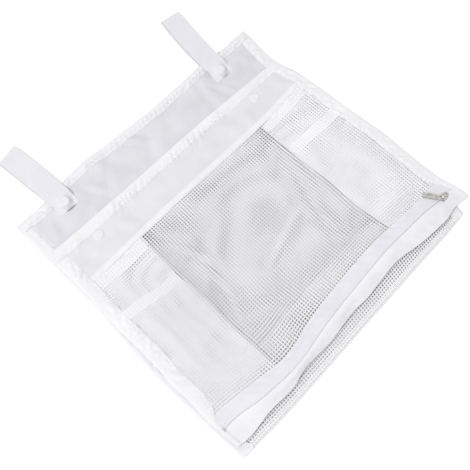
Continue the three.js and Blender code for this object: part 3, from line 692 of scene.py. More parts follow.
# Each yarn's two colours
YARNS = {
    # Warp-knitted polyester yarn: pale and soft-edged, with a fine twist along each thread.
    "warp_knitted_yarn": ("net", "net_shade"),
    # The same yarn on the back panel, a shade greyer as painted shade, for the shade it lies in
    # under the front net.
    "warp_knitted_back_yarn": ("back_net", "back_net_shade"),
}


def yarn_finish(name):
    made, tree = new_finish(name)
    place = add_node(tree, "ShaderNodeTexCoord").outputs["Object"]
    colour = uneven_colour(tree, place, *YARNS[name], 25)
    twist = add_node(
        tree, "ShaderNodeTexWave",
        {"wave_type": "BANDS", "bands_direction": "DIAGONAL",
         "Scale": WAVE_PERIOD / (YARN_TWIST * MM)},
        {"Vector": place},
    ).outputs["Fac"]
    bump = add_node(
        tree, "ShaderNodeBump", {"Strength": 0.4, "Distance": 0.0001}, {"Height": twist}
    )
    shader = add_node(
        tree, "ShaderNodeBsdfPrincipled",
        {"Roughness": 0.6, "IOR": 1.5, "Specular IOR Level": 0.3, "Sheen Weight": 0.2},
        {"Base Color": colour},
    )
    return close_finish(made, tree, shader, bump)


# The two colours of each smooth finish, how fine they are spotted, its shine, and its grain
SMOOTHS = {
    # Polyester sewing thread: brighter than the cloth, with a slight shine on each stitch.
    "sewing_thread": (
        "binding", "zip_shade", 600,
        {"Roughness": 0.5, "IOR": 1.5, "Specular IOR Level": 0.4, "Sheen Weight": 0.2}, False,
    ),
    # Drawn nylon filament: smooth and milky, with a soft highlight on each turn.
    "drawn_nylon": (
        "coil", "zip_shade", 300, {"Roughness": 0.38, "IOR": 1.53, "Specular IOR Level": 0.5}, False,
    ),
    # Injection-moulded acetal: satin white, with a faint mould texture and a soft highlight.
    "moulded_acetal": (
        "snap", "snap_shade", 260,
        {"Roughness": 0.5, "IOR": 1.48, "Specular IOR Level": 0.35, "Coat Weight": 0.05,
         "Coat Roughness": 0.4}, True,
    ),
}


def smooth_finish(name):
    light, dark, spots, shine, grained = SMOOTHS[name]
    made, tree = new_finish(name)
    place = add_node(tree, "ShaderNodeTexCoord").outputs["Object"]
    colour = uneven_colour(tree, place, light, dark, spots)
    bump = None
    if grained:
        grain = add_node(tree, "ShaderNodeTexNoise", {"Scale": 2200, "Detail": 2}, {"Vector": place})
        bump = add_node(
            tree, "ShaderNodeBump", {"Strength": 0.12, "Distance": 0.00004},
            {"Height": grain.outputs["Fac"]},
        )
    shader = add_node(tree, "ShaderNodeBsdfPrincipled", shine, {"Base Color": colour})
    return close_finish(made, tree, shader, bump)


def plated_zinc(name):
    # Nickel-plated die-cast zinc: warm grey metal, tumbled, with fine rubs that dull it unevenly.
    made, tree = new_finish(name)
    place = add_node(tree, "ShaderNodeTexCoord").outputs["Object"]
    colour = uneven_colour(tree, place, "metal", "metal_shade", 420, 4)
    rubs = add_node(
        tree, "ShaderNodeTexNoise", {"Scale": 900, "Detail": 5, "Distortion": 1.2}, {"Vector": place}
    ).outputs["Fac"]
    dull = add_node(
        tree, "ShaderNodeMapRange", {"To Min": 0.24, "To Max": 0.42}, {"Value": rubs}
    ).outputs["Result"]
    bump = add_node(
        tree, "ShaderNodeBump", {"Strength": 0.15, "Distance": 0.00005}, {"Height": rubs}
    )
    shader = add_node(
        tree, "ShaderNodeBsdfPrincipled", {"Metallic": 1.0},
        {"Base Color": colour, "Roughness": dull},
    )
    return close_finish(made, tree, shader, bump)


def seen_white(tree):
    """1 where ground or room is seen directly, in gloss or in glass, 0 where it lights the bag."""
    path = add_node(tree, "ShaderNodeLightPath")
    seen = path.outputs["Is Camera Ray"]
    for ray in ("Is Glossy Ray", "Is Transmission Ray"):
        seen = add_node(
            tree, "ShaderNodeMath", {"operation": "MAXIMUM"}, {0: seen, 1: path.outputs[ray]}
        ).outputs["Value"]
    return seen


def studio_floor(name):
    # A matt white sweep. Seen directly it is blown out to white round the bag, as in a product
    # picture. Under the bag that glow is left off by position, a painted shade which, with the bag's
    # own shadow there, gives the net its darker holes.
    made, tree = new_finish(name)
    base = add_node(tree, "ShaderNodeBsdfDiffuse", {"Color": rgba("#E0E0E0")})
    glow = add_node(tree, "ShaderNodeEmission", {"Color": rgba("#FFFFFF"), "Strength": 0.42})
    none = add_node(tree, "ShaderNodeEmission", {"Strength": 0.0})
    place = add_node(tree, "ShaderNodeTexCoord").outputs["Object"]
    spot = add_node(tree, "ShaderNodeSeparateXYZ", links={0: place})
    # 1 off the bag's footprint and 0 under it, where the glow is left off as painted shade
    clear = []
    for axis, low, high in (("X", -HALF, HALF), ("Y", FOOT, FOOT + BACK_TOP)):
        off = add_node(
            tree, "ShaderNodeMath", {"operation": "SUBTRACT", 1: (low + high) / 2 * MM},
            {0: spot.outputs[axis]},
        )
        away = add_node(tree, "ShaderNodeMath", {"operation": "ABSOLUTE"}, {0: off.outputs["Value"]})
        reach = (high - low) / 2 * MM
        clear.append(add_node(
            tree, "ShaderNodeMapRange", {"From Min": reach - 0.008, "From Max": reach},
            {"Value": away.outputs["Value"]},
        ))
    glow_outside_painted_shade = add_node(
        tree, "ShaderNodeMath", {"operation": "MAXIMUM"},
        {0: clear[0].outputs["Result"], 1: clear[1].outputs["Result"]},
    )
    share = add_node(
        tree, "ShaderNodeMath", {"operation": "MULTIPLY"},
        {0: seen_white(tree), 1: glow_outside_painted_shade.outputs["Value"]},
    )
    lit = add_node(
        tree, "ShaderNodeMixShader",
        links={0: share.outputs["Value"], 1: none.outputs["Emission"], 2: glow.outputs["Emission"]},
    )
    total = add_node(
        tree, "ShaderNodeAddShader", links={0: base.outputs["BSDF"], 1: lit.outputs["Shader"]}
    )
    add_node(tree, "ShaderNodeOutputMaterial", links={"Surface": total.outputs["Shader"]})
    return made


FINISHES = {
    **dict.fromkeys(CLOTHS, cloth_finish),
    **dict.fromkeys(YARNS, yarn_finish),
    **dict.fromkeys(SMOOTHS, smooth_finish),
    "nickel_plated_zinc": plated_zinc,
    "white_paper_sweep": studio_floor,
}


class NetBagSizes(bpy.types.PropertyGroup):
    """Sizes of the bag's yarns, tapes and stitches, in millimetres."""

    # The real net's threads are about 2.6 and 2 mm apart. They are drawn coarser, so that they show.
    wale_pitch: bpy.props.FloatProperty(
        name="Wale pitch", default=3.3, min=1.5,
        description="Between the net's upright threads, in millimetres")
    course_pitch: bpy.props.FloatProperty(
        name="Course pitch", default=2.9, min=1.5,
        description="Between the net's level threads, in millimetres")
    wale_width: bpy.props.FloatProperty(
        name="Wale width", default=1.08, min=0.3,
        description="Width of an upright net thread, in millimetres")
    course_width: bpy.props.FloatProperty(
        name="Course width", default=0.96, min=0.3,
        description="Width of a level net thread, in millimetres")
    thread_height: bpy.props.FloatProperty(
        name="Thread height", default=0.42, min=0.2,
        description="Height of a net thread, in millimetres")
    cloth: bpy.props.FloatProperty(
        name="Cloth", default=0.5, min=0.2,
        description="Thickness of cloth and tape, in millimetres")
    webbing: bpy.props.FloatProperty(
        name="Webbing", default=0.8, min=0.4,
        description="Thickness of the straps' webbing, in millimetres")
    stitch_pitch: bpy.props.FloatProperty(
        name="Stitch pitch", default=3.0, min=1.5,
        description="From one stitch to the next, in millimetres")
    stitch_length: bpy.props.FloatProperty(
        name="Stitch length", default=2.3, min=1.0,
        description="Length of one stitch, in millimetres")
    gather: bpy.props.FloatProperty(
        name="Gather", default=1.3, min=0.0,
        description="Depth of the gathers beside a seam, in millimetres")


class NetBagColours(bpy.types.PropertyGroup):
    """Colours of the bag's materials, as sRGB hex values."""

    front_cloth: bpy.props.StringProperty(
        name="Front cloth", default="#E9E9EC",
        description="The mouth flap's cloth")
    front_shade: bpy.props.StringProperty(
        name="Front cloth, deeper", default="#E2E2E7",
        description="The mouth flap's cloth where it is deeper")
    # The back cloth's two colours are darker than the front's as painted shade
    back_cloth: bpy.props.StringProperty(
        name="Back cloth", default="#E4E3E8",
        description="The back panel's cloth")
    back_shade: bpy.props.StringProperty(
        name="Back cloth, deeper", default="#DBDAE0",
        description="The back panel's cloth where it is deeper")
    binding: bpy.props.StringProperty(
        name="Binding", default="#F6F6F8",
        description="The folded binding tape")
    binding_shade: bpy.props.StringProperty(
        name="Binding, deeper", default="#EFEFF2",
        description="The folded binding tape where it is deeper")
    # The back binding's colour is a little darker than the binding's as painted shade
    back_binding: bpy.props.StringProperty(
        name="Back binding", default="#F3F2F6",
        description="The back panel's binding tape")
    zip_tape: bpy.props.StringProperty(
        name="Zip tape", default="#ECEBF1",
        description="The zip's woven tape")
    zip_shade: bpy.props.StringProperty(
        name="Zip tape, deeper", default="#E5E4EB",
        description="The zip's tape where it is deeper")
    strap: bpy.props.StringProperty(
        name="Strap", default="#ECEBF1",
        description="The hanging straps' webbing")
    strap_shade: bpy.props.StringProperty(
        name="Strap, deeper", default="#E6E5EB",
        description="The straps' webbing where it is deeper")
    net: bpy.props.StringProperty(
        name="Net", default="#FCFBFD",
        description="The knitted net's yarn")
    net_shade: bpy.props.StringProperty(
        name="Net, deeper", default="#F7F6F9",
        description="The yarn where it is deeper")
    # The back net's yarn is greyer than the front's as painted shade
    back_net: bpy.props.StringProperty(
        name="Back net", default="#F2F2F4",
        description="The back panel's yarn")
    back_net_shade: bpy.props.StringProperty(
        name="Back net, deeper", default="#EBEBEE",
        description="The back panel's yarn where it is deeper")
    coil: bpy.props.StringProperty(
        name="Coil", default="#E9EAEE",
        description="The zip's nylon coil")
    snap: bpy.props.StringProperty(
        name="Snap", default="#EFEEF2",
        description="The press snaps' acetal")
    snap_shade: bpy.props.StringProperty(
        name="Snap, deeper", default="#E8E7EC",
        description="The acetal where it is deeper")
    metal: bpy.props.StringProperty(
        name="Metal", default="#C9C8C4",
        description="The slider's nickel plate")
    metal_shade: bpy.props.StringProperty(
        name="Metal, deeper", default="#9D9B96",
        description="The nickel plate where it is rubbed")


class NetBagOperator(bpy.types.Operator):
    """A step in making the bag"""

    bl_options = {"REGISTER", "UNDO"}


class NETBAG_OT_stage(NetBagOperator):
    """Sets the floor, the lamps and the camera"""

    bl_idname = "net_bag.stage"
    bl_label = "Stage"

    def execute(self, context):
        scene = context.scene
        scene.view_settings.view_transform = "Standard"
        clear_bench()
        bpy.ops.mesh.primitive_plane_add(size=8, location=(0, 0, 0))
        floor = bpy.context.object
        floor.name = "white_floor"
        floor.data.materials.append(finish("white_paper_sweep"))

        world = bpy.data.worlds.new("soft_studio")
        scene.world = world
        world.use_nodes = True
        tree = world.node_tree
        tree.nodes.clear()
        room = add_node(tree, "ShaderNodeBackground", {"Color": rgba("#FFFFFF"), "Strength": 0.5})
        white = add_node(tree, "ShaderNodeBackground", {"Color": rgba("#FFFFFF"), "Strength": 1.0})
        mixed = add_node(
            tree, "ShaderNodeMixShader",
            links={0: seen_white(tree), 1: room.outputs[0], 2: white.outputs[0]},
        )
        add_node(tree, "ShaderNodeOutputWorld", links={"Surface": mixed.outputs[0]})

        self.lamp("key_lamp", place=(-1.35, -0.05, 2.5), size=1.2, power=46)
        self.lamp("fill_lamp", place=(1.6, 0.9, 1.6), size=1.4, power=4)
        self.camera(scene)
        return {"FINISHED"}

    def camera(self, scene):
        data = bpy.data.cameras.new("photo_camera")
        data.lens = CAMERA_LENS
        data.sensor_width = 36
        data.clip_start = 0.01
        camera = bpy.data.objects.new("photo_camera", data)
        scene.collection.objects.link(camera)
        azimuth, height = math.radians(CAMERA_AZIMUTH), math.radians(CAMERA_HEIGHT)
        roll = math.radians(CAMERA_ROLL)
        level = math.cos(height)
        back = Vector((math.sin(azimuth) * level, -math.cos(azimuth) * level, math.sin(height)))
        right = (-back).cross(Vector((0, 0, 1))).normalized()
        up = back.cross(right)
        turned = right * math.cos(roll) + up * math.sin(roll)
        risen = up * math.cos(roll) - right * math.sin(roll)
        aim = Vector((CAMERA_AIM[0], CAMERA_AIM[1] + FOOT, 0)) * MM
        place = Matrix((turned, risen, back)).transposed().to_4x4()
        place.translation = aim + back * CAMERA_DISTANCE
        camera.matrix_world = place
        scene.camera = camera

    def lamp(self, name, place, size, power):
        data = bpy.data.lights.new(name, "AREA")
        data.shape = "SQUARE"
        data.size = size
        data.energy = power
        lamp = bpy.data.objects.new(name, data)
        bpy.context.scene.collection.objects.link(lamp)
        lamp.location = place
        lamp.rotation_euler = (-Vector(place)).to_track_quat("-Z", "Y").to_euler()


class NETBAG_OT_back(NetBagOperator):
    """Makes the back panel: cloth, net and bindings"""

    bl_idname = "net_bag.back"
    bl_label = "Back panel"

    def execute(self, context):
        sizes = context.scene.net_bag_sizes
        width = 2 * (HALF - EDGE)
        mid = (BACK_UNDER + BACK_OVER) / 2
        length = BACK_TOP - EDGE - BAND_LINE
        band = cut_cloth("back_cloth", "shaded_woven_polyester", width, length, (2, 2))
        sew(band, lambda u, v, h: lay(u - HALF + EDGE, BAND_LINE + v, mid + h, 0))
        dress(band, "bag", ["back_band"])

        length = BAND_LINE - EDGE
        net = knit("back_netting", "warp_knitted_back_yarn", width, length, full=1.1)
        sew(net, lambda u, v, h: self.net_place(u - HALF + EDGE, EDGE + v, mid + h))
        dress(net, "bag", ["back_net"])

        for word, side in SIDES:
            self.side_binding(word, side, sizes)
        self.top_binding(sizes)
        self.foot_fold()
        return {"FINISHED"}

    def net_place(self, x, y, z):
        """The back net has crept round under the front one, which makes the soft dark arcs."""
        hold = smooth(0, 60, HALF - abs(x)) * smooth(0, 50, y) * smooth(0, 50, BAND_LINE - y)
        drift = 5.0 * noise.noise(Vector((x / 110 + 1.3, y / 90 + 4.1, 2.0)))
        slip = 5.0 * noise.noise(Vector((x / 120 - 2.3, y / 100 + 0.6, 7.0)))
        spread_x, spread_y = spread(x, y)
        return lay(x + (drift + spread_x) * hold, y + (slip + spread_y) * hold, z, 0)

    def side_binding(self, word, side, sizes):
        low, high = cad(f"back_{word}_hem")
        top = high.z - sizes.cloth / 2
        line, across = hem_line(HEM_WIDTH, low.z + sizes.cloth, top)
        length = high.y - low.y
        strip = cut_cloth(f"back_{word}_binding", "folded_back_binding", across, length, (1.4, 2.2))
        rows = [across - HEM_WIDTH + 11.5, across - 2.2]
        strip = stitched(strip, rows, length)

        def path(u, v, h):
            free = smooth(FRONT_TOP - 4, FRONT_TOP + 5, low.y + v)
            inward, z = ironed(line(u), h, HEM_WIDTH, top - BACK_OVER, free)
            return lay(side * (HALF - inward - edge_wobble(v, side + 2)), low.y + v, z, 0)

        sew(strip, path)
        dress(strip, "bag", [f"back_{word}_hem"])

    def foot_fold(self):
        """The net runs round the foot of the bag from the bottom gusset to the back."""
        low, high = cad("back_bottom_seam")
        width = high.y - low.y
        line, across = hem_line(width, BACK_UNDER, high.z - HALF_CLOTH)
        length = high.x - low.x
        fold = knit("back_foot_netting", "warp_knitted_yarn", length, across, segment=4, full=1.2)

        def path(u, v, h):
            inward, z, out, up = line(min(max(v, 0), across))
            return lay(low.x + u, low.y + inward + out * h, z + up * h, 0)

        sew(fold, path)
        dress(fold, "bag", ["back_bottom_seam"])

    def top_binding(self, sizes):
        low, high = cad("back_top_hem")
        width, length, top = high.y - low.y, high.x - low.x, high.z - sizes.cloth / 2
        line, across = hem_line(width, low.z + sizes.cloth, top)
        # It is cut thin, slit, and only then given its thickness
        strip = cut_cloth("back_top_binding", "folded_back_binding", across, length, (1.2, 2.0), 0)
        slit_for_straps(strip, across, low.x)
        modify(strip, "SOLIDIFY", thickness=sizes.cloth, offset=0, use_rim=True)
        rows = [across - 2.8, across - 4.8]
        strip = stitched(strip, rows, length)

        def path(u, v, h):
            x = low.x + v
            shut = 0.7 * smooth(HALF - 5, HALF, abs(x))
            inward, z = ironed(line(u), h, width, top - BACK_OVER, press=off_sides(x),
                               shut=shut, middle=(low.z + high.z) / 2)
            return lay(x, high.y - inward, z, 0)

        sew(strip, path)
        dress(strip, "bag", ["back_top_hem"])


def slit_for_straps(strip, across, start):
    """Opens the top binding's fold where each hanging strap comes out of it.

    across is the strip's width, and start is where it begins on the bag.
    """
    pick(strip)
    bpy.ops.object.mode_set(mode="EDIT")
    bpy.ops.mesh.select_mode(type="FACE")
    bpy.ops.mesh.select_all(action="DESELECT")
    bpy.ops.object.mode_set(mode="OBJECT")
    for face in strip.data.polygons:
        at = face.center
        beside, off_fold = abs(abs(start + at.y) - SNAP_X), abs(at.x - across / 2)
        face.select = beside < STRAP_SLIT[0] and off_fold < STRAP_SLIT[1]
    bpy.ops.object.mode_set(mode="EDIT")
    bpy.ops.mesh.delete(type="FACE")
    bpy.ops.object.mode_set(mode="OBJECT")


class NETBAG_OT_front(NetBagOperator):
    """Makes the front panel: mouth flap, net and bindings"""

    bl_idname = "net_bag.front"
    bl_label = "Front panel"

    def execute(self, context):
        sizes = context.scene.net_bag_sizes
        width = 2 * (HALF - EDGE)
        mid = (FRONT_UNDER + FRONT_OVER) / 2
        length = FRONT_TOP - EDGE - BAND_LINE
        band = cut_cloth("front_cloth", "plain_woven_polyester", width, length, (2, 2))
        sew(band, lambda u, v, h: lay(u - HALF + EDGE, BAND_LINE + v, mid + h, 1))
        dress(band, None, ["front_band"])
        self.hinge(band)

        foot = ZIP_HEAD + SEAM
        length = BAND_LINE - foot
        net = knit("front_netting", "warp_knitted_yarn", width, length)
        sew(net, lambda u, v, h: lay(u - HALF + EDGE, foot + v, mid + h + rise(foot + v), 1))
        dress(net, None, ["front_net"])
        self.hinge(net)

        for word, side in SIDES:
            self.side_binding(word, side, sizes)
        self.top_binding(sizes)
        self.seam_fold()
        return {"FINISHED"}

    def hinge(self, piece):
        """Puts a piece's place into its mesh."""
        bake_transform(piece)

    def seam_fold(self):
        """The flap's foot is turned up and sewn down in a narrow strip along the net."""
        width, thickness = 6.4, 0.32
        length = 2 * (HALF - HEM_WIDTH - 0.6)
        strip = cut_cloth(
            "front_band_fold", "folded_binding_tape", width, length, (0.8, 2.2), thickness
        )
        strip = stitched(strip, [1.2, 5.2], length, thickness)

        def path(u, v, h):
            waver = noise.noise(Vector((v / 24, 0.5, 6.1)))
            ripple = 0.22 * math.sin(v / 1.35 + 0.5 * u + waver * 3)
            ripple *= smooth(0, 2, u) * smooth(width, width - 2, u)
            h *= between(1, 0.3, smooth(width - 1.6, width - 0.2, u))
            z = FRONT_OVER + 0.1 + thickness / 2 + h - 0.1 * smooth(width - 2, width, u)
            return lay(v - length / 2, BAND_LINE + 0.2 + u, z + max(ripple, -0.05), 1)

        sew(strip, path)
        dress(strip)
        self.hinge(strip)

    def side_binding(self, word, side, sizes):
        low, high = cad(f"front_band_{word}_hem")
        bottom = cad(f"zip_{word}_seam")[0].y
        top = high.z - sizes.cloth / 2
        line, across = hem_line(HEM_WIDTH, low.z + sizes.cloth / 2, top)
        length = high.y - bottom
        strip = cut_cloth(f"front_{word}_binding", "folded_binding_tape", across, length, (1.4, 2.2))
        rows = [across - 2.2, across - 4.8]
        strip = stitched(strip, rows, length)

        def path(u, v, h):
            inward, z = ironed(line(u), h, HEM_WIDTH, top - FRONT_OVER)
            y = bottom + v
            narrow = between(1, 0.4, smooth(ZIP_HEAD + 12, ZIP_HEAD - 8, y))
            x = side * (HALF - inward * narrow - edge_wobble(v, side + 7))
            return lay(x, y, z + rise(y), 1)

        sew(strip, path)
        nodes = [f"front_{word}_hem", f"front_band_{word}_hem", f"zip_{word}_seam"]
        dress(strip, None, nodes)
        self.hinge(strip)

    def top_binding(self, sizes):
        low, high = cad("front_top_hem")
        width, length, top = high.y - low.y, high.x - low.x, high.z - sizes.cloth / 2
        line, across = hem_line(width, low.z + sizes.cloth / 2, top)
        strip = cut_cloth("front_top_binding", "folded_binding_tape", across, length, (1.2, 2.4))
        rows = [across - 1.8, across - 4.0]
        strip = stitched(strip, rows, length)

        def path(u, v, h):
            x = low.x + v
            shut = 0.5 * smooth(HALF - 5, HALF, abs(x))
            inward, z = ironed(line(u), h, width, top - FRONT_OVER, press=off_sides(x),
                               shut=shut, middle=(low.z + high.z) / 2)
            return lay(x, high.y - inward, z, 1)

        sew(strip, path)
        dress(strip, "mouth_flap", ["front_top_hem"])


class NETBAG_OT_gussets(NetBagOperator):
    """Makes the side and bottom gussets, folded in"""

    bl_idname = "net_bag.gussets"
    bl_label = "Gussets"

    def execute(self, context):
        for word, side in SIDES:
            upper = [c.y for c in cad(f"{word}_gusset_upper_net")]
            lower = [c.y for c in cad(f"{word}_gusset_lower_net")]
            net = join(
                self.leaf(f"{word}_gusset_netting", side, lower, taped=False),
                self.leaf(f"{word}_gusset_netting_upper", side, upper, taped=False),
            )
            across = self.section(EDGE, lower[0])[1]
            dress(net, "bag",
                  [f"{word}_gusset_upper_net", f"{word}_gusset_lower_net"])
            for part, name in (("band_hem", "binding"), ("tape", "cross_tape")):
                rows = [c.y for c in cad(f"{word}_gusset_{part}")]
                strip = self.leaf(f"{word}_gusset_{name}", side, rows, taped=True)
                dress(strip, "bag", [f"{word}_gusset_{part}"])
            self.mouth_leaf(word, side)
        self.foot()
        return {"FINISHED"}

    def section(self, start, y):
        """A side gusset's fold at a height up the bag. Its front layer lies close under the net."""
        return fold_line(start, GUSSET_IN, FRONT_UNDER - SEAM - 0.05 + rise(y), GUSSET_BACK)

    def leaf(self, name, side, rows, taped):
        """A length of a side gusset, folded in: of its net, or of the tape that is sewn over it."""
        sizes = bpy.context.scene.net_bag_sizes
        # The gusset's threads lie between those of the front net over them
        start = EDGE if taped else EDGE + sizes.wale_pitch / 2
        across = self.section(start, rows[0])[1]
        length = rows[1] - rows[0]
        if taped:
            piece = cut_cloth(name, "folded_binding_tape", across, length, (2.6, 2.4))
        else:
            piece = knit(name, "warp_knitted_yarn", across, length, segment=6, full=1.25)

        # How far the gusset's inner fold has slid along the bag
        slid = -11 if side < 0 else 4

        def path(u, v, h):
            y = rows[0] + v
            line, reach = self.section(start, y)
            inward, z, out, up = line(min(u / across, 1) * reach)
            share = (z - GUSSET_BACK) / (FRONT_UNDER - SEAM + rise(y) - GUSSET_BACK)
            share = min(max(share, 0), 1)
            inner = smooth(HEM_WIDTH, GUSSET_IN, inward)
            slip = slid * smooth(50, 90, y) * smooth(BAND_LINE, GUSSET_TAPE, y)
            creep = 2.4 * noise.noise(Vector((inward / 34, y / 40, side * 3.0))) * smooth(60, 90, y)
            stray = 1.7 * noise.noise(Vector((y / 24, inward / 21, side * 5.0))) * inner
            stray *= between(1, 0.3, smooth(GUSSET_IN - 22, GUSSET_IN, inward))
            x = side * (HALF - inward - out * h + stray)
            return lay(x, y + (slip + creep) * inner, z + up * h, share)

        sew(piece, path)
        return piece

    def mouth_leaf(self, word, side):
        """The folded cloth beside the mouth, above a side gusset's net."""
        low, high = cad(f"{word}_gusset_front_band")
        front, back = FRONT_UNDER - SEAM - HALF_CLOTH, GUSSET_BACK
        line, across = fold_line(EDGE, high.x - low.x + EDGE, front, back)
        length = high.y - low.y
        piece = cut_cloth(f"{word}_mouth_gusset", "shaded_woven_polyester", across, length, (2.4, 3))

        def path(u, v, h):
            inward, z, out, up = line(u)
            share = min(max((z - back) / (front - back), 0), 1)
            return lay(side * (HALF - inward - out * h), low.y + v, z + up * h, share)

        sew(piece, path)
        dress(piece, "bag",
              [f"{word}_gusset_front_band", f"{word}_gusset_back_band"])

    def foot(self):
        """The bottom gusset: in under the zip and slider, round its fold and out over the back."""
        low, high = cad("bottom_gusset_net")
        slider = cad("zip_slider")[0]
        front = TAPE_UNDER - SEAM - HALF_CLOTH
        under = slider.z - SEAM - HALF_CLOTH
        dip = slider.y - SEAM
        middle = (front + GUSSET_BACK) / 2
        fold = high.y
        inner = fold - FOLD_RADIUS
        points = [(ZIP_FOOT, front), (dip - 5, front), (dip, under), (inner, middle + FOLD_RADIUS)]
        points += [(inner + FOLD_RADIUS * math.sin(a), middle + FOLD_RADIUS * math.cos(a))
                   for a in (0.4, 0.8, 1.2, math.pi / 2, 1.95, 2.35, 2.75)]
        points += [(inner, middle - FOLD_RADIUS), (6, GUSSET_BACK), (EDGE, GUSSET_BACK)]
        lengths = [0.0]
        for a, b in zip(points, points[1:]):
            lengths.append(lengths[-1] + math.hypot(b[0] - a[0], b[1] - a[1]))
        total = lengths[-1]
        width = high.x - low.x
        inset = 1.4  # Its threads lie between those of the front net over them
        net = knit("foot_gusset_netting", "warp_knitted_yarn", width - 2 * inset, total,
                   segment=6, full=1.25)
        notch = HALF - GUSSET_IN - 0.3
        corner = ZIP_HEAD - 0.3

        def path(u, v, h):
            v = min(max(v, 0), total)
            i = next(k for k in range(1, len(lengths)) if v <= lengths[k] + 1e-6)
            t = (v - lengths[i - 1]) / (lengths[i] - lengths[i - 1])
            y = between(points[i - 1][0], points[i][0], t)
            z = between(points[i - 1][1], points[i][1], t)
            x = low.x + inset + u
            up = 1 if z > middle else -1
            beyond = smooth(notch - 6, notch + 4, abs(x))
            y = min(y, between(fold, corner, beyond))
            share = min(max((z - GUSSET_BACK) / (front - GUSSET_BACK), 0), 1)
            return lay(x, y, z + up * h, share)

        sew(net, path)
        dress(net, "bag", ["bottom_gusset_net"])


class NETBAG_OT_zip(NetBagOperator):
    """Makes the zip's tapes and coils, and finishes its metal"""

    bl_idname = "net_bag.zip"
    bl_label = "Zip"

    def execute(self, context):
        for word, side in (("upper", 1), ("lower", -1)):
            cloth = "woven_zip_tape" if side > 0 else "woven_zip_tape_outer"
            low, high = cad(f"{word}_zip_tape")
            width, length = high.y - low.y, high.x - low.x
            tape = cut_cloth(f"{word}_zip_cloth", cloth, width, length, (1.3, 2.6))
            inner = 0 if side > 0 else width
            rows = [abs(inner - 4.2), abs(inner - 13.4)]
            closer = (abs(ZIP_LINE - (low.y if side > 0 else high.y)) - 0.15) * -side
            tape = stitched(tape, rows, length)
            mid = (low.z + high.z) / 2

            def path(u, v, h):
                x, y = low.x + v, low.y + u
                away = abs(y - ZIP_LINE)
                y += closer * smooth(3, 1, away)
                wander = 1.3 * noise.noise(Vector((v / 26, side * 2.0, 1.1)))
                ripple = 0.5 * math.sin(v / 2 + 0.5 * u + 2 * wander)
                ripple += 0.7 * noise.noise(Vector((v / 14, u / 9, side)))
                ripple *= smooth(3, 12, away) * calm(x, y)
                roll = 0.4 * smooth(3.8, 0.8, away)
                return lay(x, y, mid + h + ripple - roll, 1)

            sew(tape, path)
            dress(tape, "bag", [f"{word}_zip_tape"])
            self.coil(word, side)
        for node in ("zip_left_stop", "zip_right_stop", "zip_slider", "zip_pull_tab"):
            refinish(node, "nickel_plated_zinc")
        return {"FINISHED"}

    def coil(self, word, side):
        """A row of coil turns along one tape's edge, reaching a little past the chain's middle."""
        low, high = cad(f"{word}_zip_coil")
        reach = abs(ZIP_LINE - (low.y if side > 0 else high.y)) + 0.25
        if side > 0:
            low.y -= reach
        else:
            high.y += reach
        count = int((high.x - low.x) / COIL_PITCH) - 1
        clear_bench()
        bpy.ops.mesh.primitive_torus_add(
            major_segments=10, minor_segments=5, major_radius=0.5, minor_radius=0.17,
            rotation=(0, math.pi / 2, 0.35 * side))
        turn = bpy.context.object
        turn.name = f"{word}_zip_chain"
        settle(turn)
        outer = 1.34  # Across the torus as it was added
        turn.scale = (1, (high.y - low.y) / outer, (high.z - low.z) / outer)
        turn.location = (low.x + COIL_PITCH, (low.y + high.y) / 2, (low.z + high.z) / 2)
        settle(turn)
        repeat(turn, count, (COIL_PITCH, 0, 0))
        turn.data.materials.append(finish("drawn_nylon"))
        sew(turn, lambda x, y, z: lay(x, y, z, 1))
        dress(turn, "bag", [f"{word}_zip_coil"])


def refinish(node, name):
    """Gives its real finish to a CAD node that keeps its shape."""
    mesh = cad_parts[node].data
    mesh.materials.clear()
    mesh.materials.append(finish(name))


class NETBAG_OT_straps(NetBagOperator):
    """Makes the two hanging straps"""

    bl_idname = "net_bag.straps"
    bl_label = "Hanging straps"

    def execute(self, context):
        sizes = context.scene.net_bag_sizes
        for word, side in SIDES:
            strap_low, strap_high = cad(f"{word}_loop_strap")
            thick = sizes.webbing
            radius = (strap_high.z - strap_low.z - thick) / 2
            middle = (strap_high.z + strap_low.z) / 2
            crest = strap_high.y - radius - thick / 2
            rear = crest - strap_low.y
            front = crest - cad(f"{word}_loop_flap")[0].y
            arc = math.pi * radius
            total = rear + arc + front
            width = strap_high.x - strap_low.x
            centre = side * SNAP_X
            split = rear + arc
            lean, stretch, skew = STRAP_LIE[word]

            def path(u, v, h):
                below = 1
                h *= between(1, 0.35, smooth(total - 2.2, total - 0.3, v))
                if v < rear:
                    y, z, out, up = strap_low.y + v, middle - radius, 0, -1
                elif v < split:
                    turn = (v - rear) / radius
                    y, z = crest + radius * math.sin(turn), middle - radius * math.cos(turn)
                    out, up = math.sin(turn), -math.cos(turn)
                    below = 0.5 - 0.5 * up
                else:
                    y, z, out, up = crest - (v - split), middle + radius, 0, 1
                    below = 0
                y, z = y + out * h, z + up * h
                across = u - width / 2
                slack = smooth(LOOP_SNAP_Y + 6, LOOP_SNAP_Y + 30, y)
                z = middle + (z - middle) * between(1, 0.34, slack)
                if v > split:
                    tip = smooth(LOOP_SNAP_Y + 9, LOOP_SNAP_Y - 2, y)
                    z -= 4.5 * smooth(5.6, 9.6, math.hypot(across, y - LOOP_SNAP_Y)) * tip
                beyond = max(y - LOOP_SNAP_Y, 0) / (strap_high.y - LOOP_SNAP_Y)
                x = centre + across + lean * beyond ** 1.4
                x -= 1.7 * below * smooth(0.15, 0.5, beyond)
                return Vector((x, y + FOOT + (stretch + skew * across) * beyond, z)) * MM

            # The rear leg stays on the bag with the crest. The front leg lies on it.
            for part, start, length in (("rear", 0, split), ("front", split, total - split)):
                leg = cut_cloth(
                    f"{word}_strap_{part}", "flat_woven_webbing", width, length, (1.3, 1.6), thick
                )
                rows = [1.6, width - 1.6]
                leg = stitched(leg, rows, length, thick)
                sew(leg, lambda u, v, h: path(u, start + v, h))
                if part == "rear":
                    dress(leg, "bag", [f"{word}_loop_strap"])
                else:
                    dress(leg, None, [f"{word}_loop_flap"])
                    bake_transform(leg)
        return {"FINISHED"}


